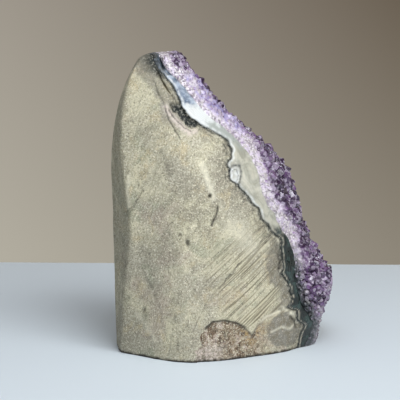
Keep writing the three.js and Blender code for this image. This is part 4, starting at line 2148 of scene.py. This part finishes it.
    def _room(self) -> Piece:
        """The box that the crust has to stay in.

        Returns:
            The box as an object.
        """
        corners = np.array([[x, y, z] for z in (0.0, BOX_HIGH[2]) for y in (BOX_LOW[1], BOX_HIGH[1])
                            for x in (BOX_LOW[0], BOX_HIGH[0])])
        faces = [(0, 2, 3, 1), (4, 5, 7, 6), (0, 1, 5, 4), (2, 6, 7, 3), (0, 4, 6, 2), (1, 3, 7, 5)]
        return Solid(corners, faces).to_object("room")

    def _tone(self, piece: Piece, points: list[Point], solids: list[Solid]) -> None:
        """Stores each place's purple, frost, dirt, painted crevice shade and painted sky reflection, and
        each crystal's own shade.

        Args:
            piece: The druse.
            points: Its crystals.
            solids: Their solids.
        """
        joined = self._joined(solids)
        tree = BVHTree.FromPolygons(joined.points.tolist(), joined.faces)
        owners = np.repeat(np.arange(len(solids)), [len(solid.faces) for solid in solids])
        places, side = mesh_points(piece), self.stone.side
        rise = np.full(len(places), self.bed_rise)
        for i, place in enumerate(places):
            face, distance = tree.find_nearest(place)[2:]
            if distance < self.touch:
                point = points[owners[face]]
                rise[i] = float((place - point.place) @ point.axis) / point.radius
        middles = np.zeros(len(piece.data.polygons) * 3, np.float32)
        piece.data.polygons.foreach_get("center", middles)
        shades = np.full(len(piece.data.polygons), self.shade[0])
        for i, middle in enumerate(middles.reshape(-1, 3).astype(float) / MM):
            face, distance = tree.find_nearest(middle)[2:]
            if distance < self.touch:
                shades[i] = points[owners[face]].shade
        heights, ahead = places[:, 2], side.quartz_contact.ahead_of(places)
        patches = 0.85 + 0.4 * side.coarse.layered(places + 40, 8, 2)
        grown = self._grown(places)
        # The band's purple is the crystals' own colour; its deepening far ahead of the contact is painted
        # shade on points seen against the light at the outline.
        purple = self._band("purple", places) * (1 + 0.25 * eased(6, 11, ahead))
        # Where the painted sky reflection lies: the top of the crust, away from the far side.
        sky = eased(102, 109, heights + 4 * patches) * eased(130, 126, heights)
        sky = sky * (1 - self._far(places)) * eased(1.5, 3.5, ahead)
        # Painted crevice shade: strongest low on a point and on the bare bed between points.
        hollow = eased(0.3, -0.15, rise) * (0.25 + 0.75 * eased(34, 60, heights))
        ragged = ahead + 2.5 * side.coarse.layered(places, 4, 3, 0.7)
        store(
            piece,
            sky=sky,
            growth=held(grown * purple * patches),
            frost=held(self._band("frost", places) * (1 - 0.75 * grown)),
            hollow=hollow,
            dirt=eased(28, 8, heights + 6 * side.coarse.at(places, 9)),
            moss=eased(6.5, 0.5, ragged) * eased(52, 40, heights),
        )
        store(piece, "FACE", shade=shades)


# ---- Studio ----


@dataclass(frozen=True)
class SoftBox:
    """A soft rectangular lamp that looks at a point."""

    name: str
    place: Place
    aim: Place
    size: tuple[float, float]
    power: float
    colour: Colour = (1, 1, 1)

    def build(self) -> None:
        """Hangs the lamp."""
        data = bpy.data.lights.new(self.name, "AREA")
        data.shape = "RECTANGLE"
        data.size, data.size_y = self.size
        data.energy = self.power
        data.color = self.colour
        lamp = placed(self.name, data)
        lamp.location = self.place
        lamp.rotation_euler = (Vector(self.aim) - Vector(self.place)).to_track_quat("-Z", "Y").to_euler()


@dataclass
class Studio:
    """Pale floor, soft light and the camera, in metres."""

    camera_place: Place = (-0.01069, -0.71953, 0.190)
    camera_pitch: float = 9.6
    camera_lens: float = 140.0
    camera_sensor: float = 36
    camera_near: float = 0.01
    floor_back: float = 0.1827
    floor_skew: float = 0.03
    floor_front: float = -1.1
    floor_half: float = 1.5
    floor_thick: float = 0.03
    floor_round: float = 0.004
    floor_finish: PlainFinish = PlainFinish("pale_floor", tone(213, 221, 227), 0.6)
    low_wall: tuple[Colour, Colour] = (tone(177, 172, 159), tone(142, 135, 122))
    high_wall: tuple[Colour, Colour] = (tone(158, 151, 140), tone(108, 98, 85))
    far_left: Colour = tone(96, 92, 86)
    wall_across: Span = (-0.125, 0.125)
    wall_rise: Span = (-0.2, -0.04)
    wall_left: Span = (-0.6, -0.16)

    def build(self) -> None:
        """Sets up everything round the stone."""
        self._camera()
        self._floor()
        self._world()
        for lamp in self._lamps():
            lamp.build()
        bpy.context.scene.view_settings.view_transform = "Standard"

    def _camera(self) -> None:
        """The camera at a low three-quarter height, with a long lens."""
        data = bpy.data.cameras.new("camera")
        data.lens = self.camera_lens
        data.sensor_width = self.camera_sensor
        data.clip_start = self.camera_near
        camera = placed("camera", data)
        camera.location = self.camera_place
        camera.rotation_euler = (math.radians(90 - self.camera_pitch), 0, 0)
        bpy.context.scene.camera = camera

    def _floor(self) -> None:
        """A pale table top with a softened edge, whose far edge closes the floor."""
        shape = bmesh.new()
        half, skew = self.floor_half, self.floor_half * self.floor_skew
        outline = ((-half, self.floor_front), (half, self.floor_front), (half, self.floor_back - skew),
                   (-half, self.floor_back + skew))
        for level in (-self.floor_thick, 0.0):
            for x, y in outline:
                shape.verts.new((x, y, level))
        bmesh.ops.convex_hull(shape, input=shape.verts)
        bmesh.ops.dissolve_limit(shape, angle_limit=0.01, verts=shape.verts, edges=shape.edges)
        bmesh.ops.bevel(shape, geom=shape.edges[:], offset=self.floor_round, segments=4, affect="EDGES")
        mesh = bpy.data.meshes.new("floor")
        shape.to_mesh(mesh)
        shape.free()
        floor = placed("floor", mesh)
        mesh.materials.append(self.floor_finish.material())

    def _world(self) -> None:
        """A taupe room: a backdrop lighter low on the left, and darker to the far left."""
        world = bpy.data.worlds.new("room")
        bpy.context.scene.world = world
        b = Nodes(world)
        turned = b.make("SeparateXYZ", Vector=b.make("TexCoord").outputs["Generated"]).outputs
        across = b.band(turned["X"], *self.wall_across, "LINEAR")
        rise = b.band(turned["Z"], *self.wall_rise, "LINEAR")
        left = b.band(turned["X"], *self.wall_left, "LINEAR")
        backdrop = b.mix(rise, b.mix(across, *self.low_wall), b.mix(across, *self.high_wall))
        back = b.make("Background", Color=b.mix(left, self.far_left, backdrop))
        b.make("OutputWorld", Surface=back.outputs["Background"])

    def _lamps(self) -> tuple[SoftBox, ...]:
        """Key from the front right, a weak fill, a top light and a faint light overhead.

        Returns:
            The lamps.
        """
        aim = (0.0, 0.0, 0.06)
        return (
            SoftBox("key", (0.56, -0.72, 0.72), aim, (0.85, 0.85), 8.8, (0.97, 1.0, 1.02)),
            SoftBox("fill", (-0.3, -1.1, 0.6), aim, (0.8, 0.8), 0.4, (0.9, 1.0, 1.1)),
            SoftBox("top", (0.15, -0.5, 0.85), (0.0, -0.35, 0.0), (0.5, 0.5), 4.2, (0.95, 1.0, 1.05)),
            SoftBox("sky", (-0.15, -0.12, 0.7), (-0.15, -0.12, 0.0), (0.5, 0.5), 0.9, (0.85, 1.0, 1.2)),
        )


def main() -> None:
    """Builds the stone's layers in order, rides them on the body and sets up the studio."""
    logging.basicConfig(level=logging.INFO, format="%(message)s")
    stone = Stone()
    builders = ((Layer.ROCK, BasaltMatrix(stone), "basalt"), (Layer.RIND, AgateRind(stone), "agate"),
                (Layer.CRUST, AmethystDruse(stone), "amethyst"))
    for layer, builder, slot in builders:
        piece = builder.build()
        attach(piece, BODY)
        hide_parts(layer.value)
        log.info("%s: %d faces", piece.name, len(piece.data.polygons))
    Studio().build()


if __name__ == "__main__":
    main()
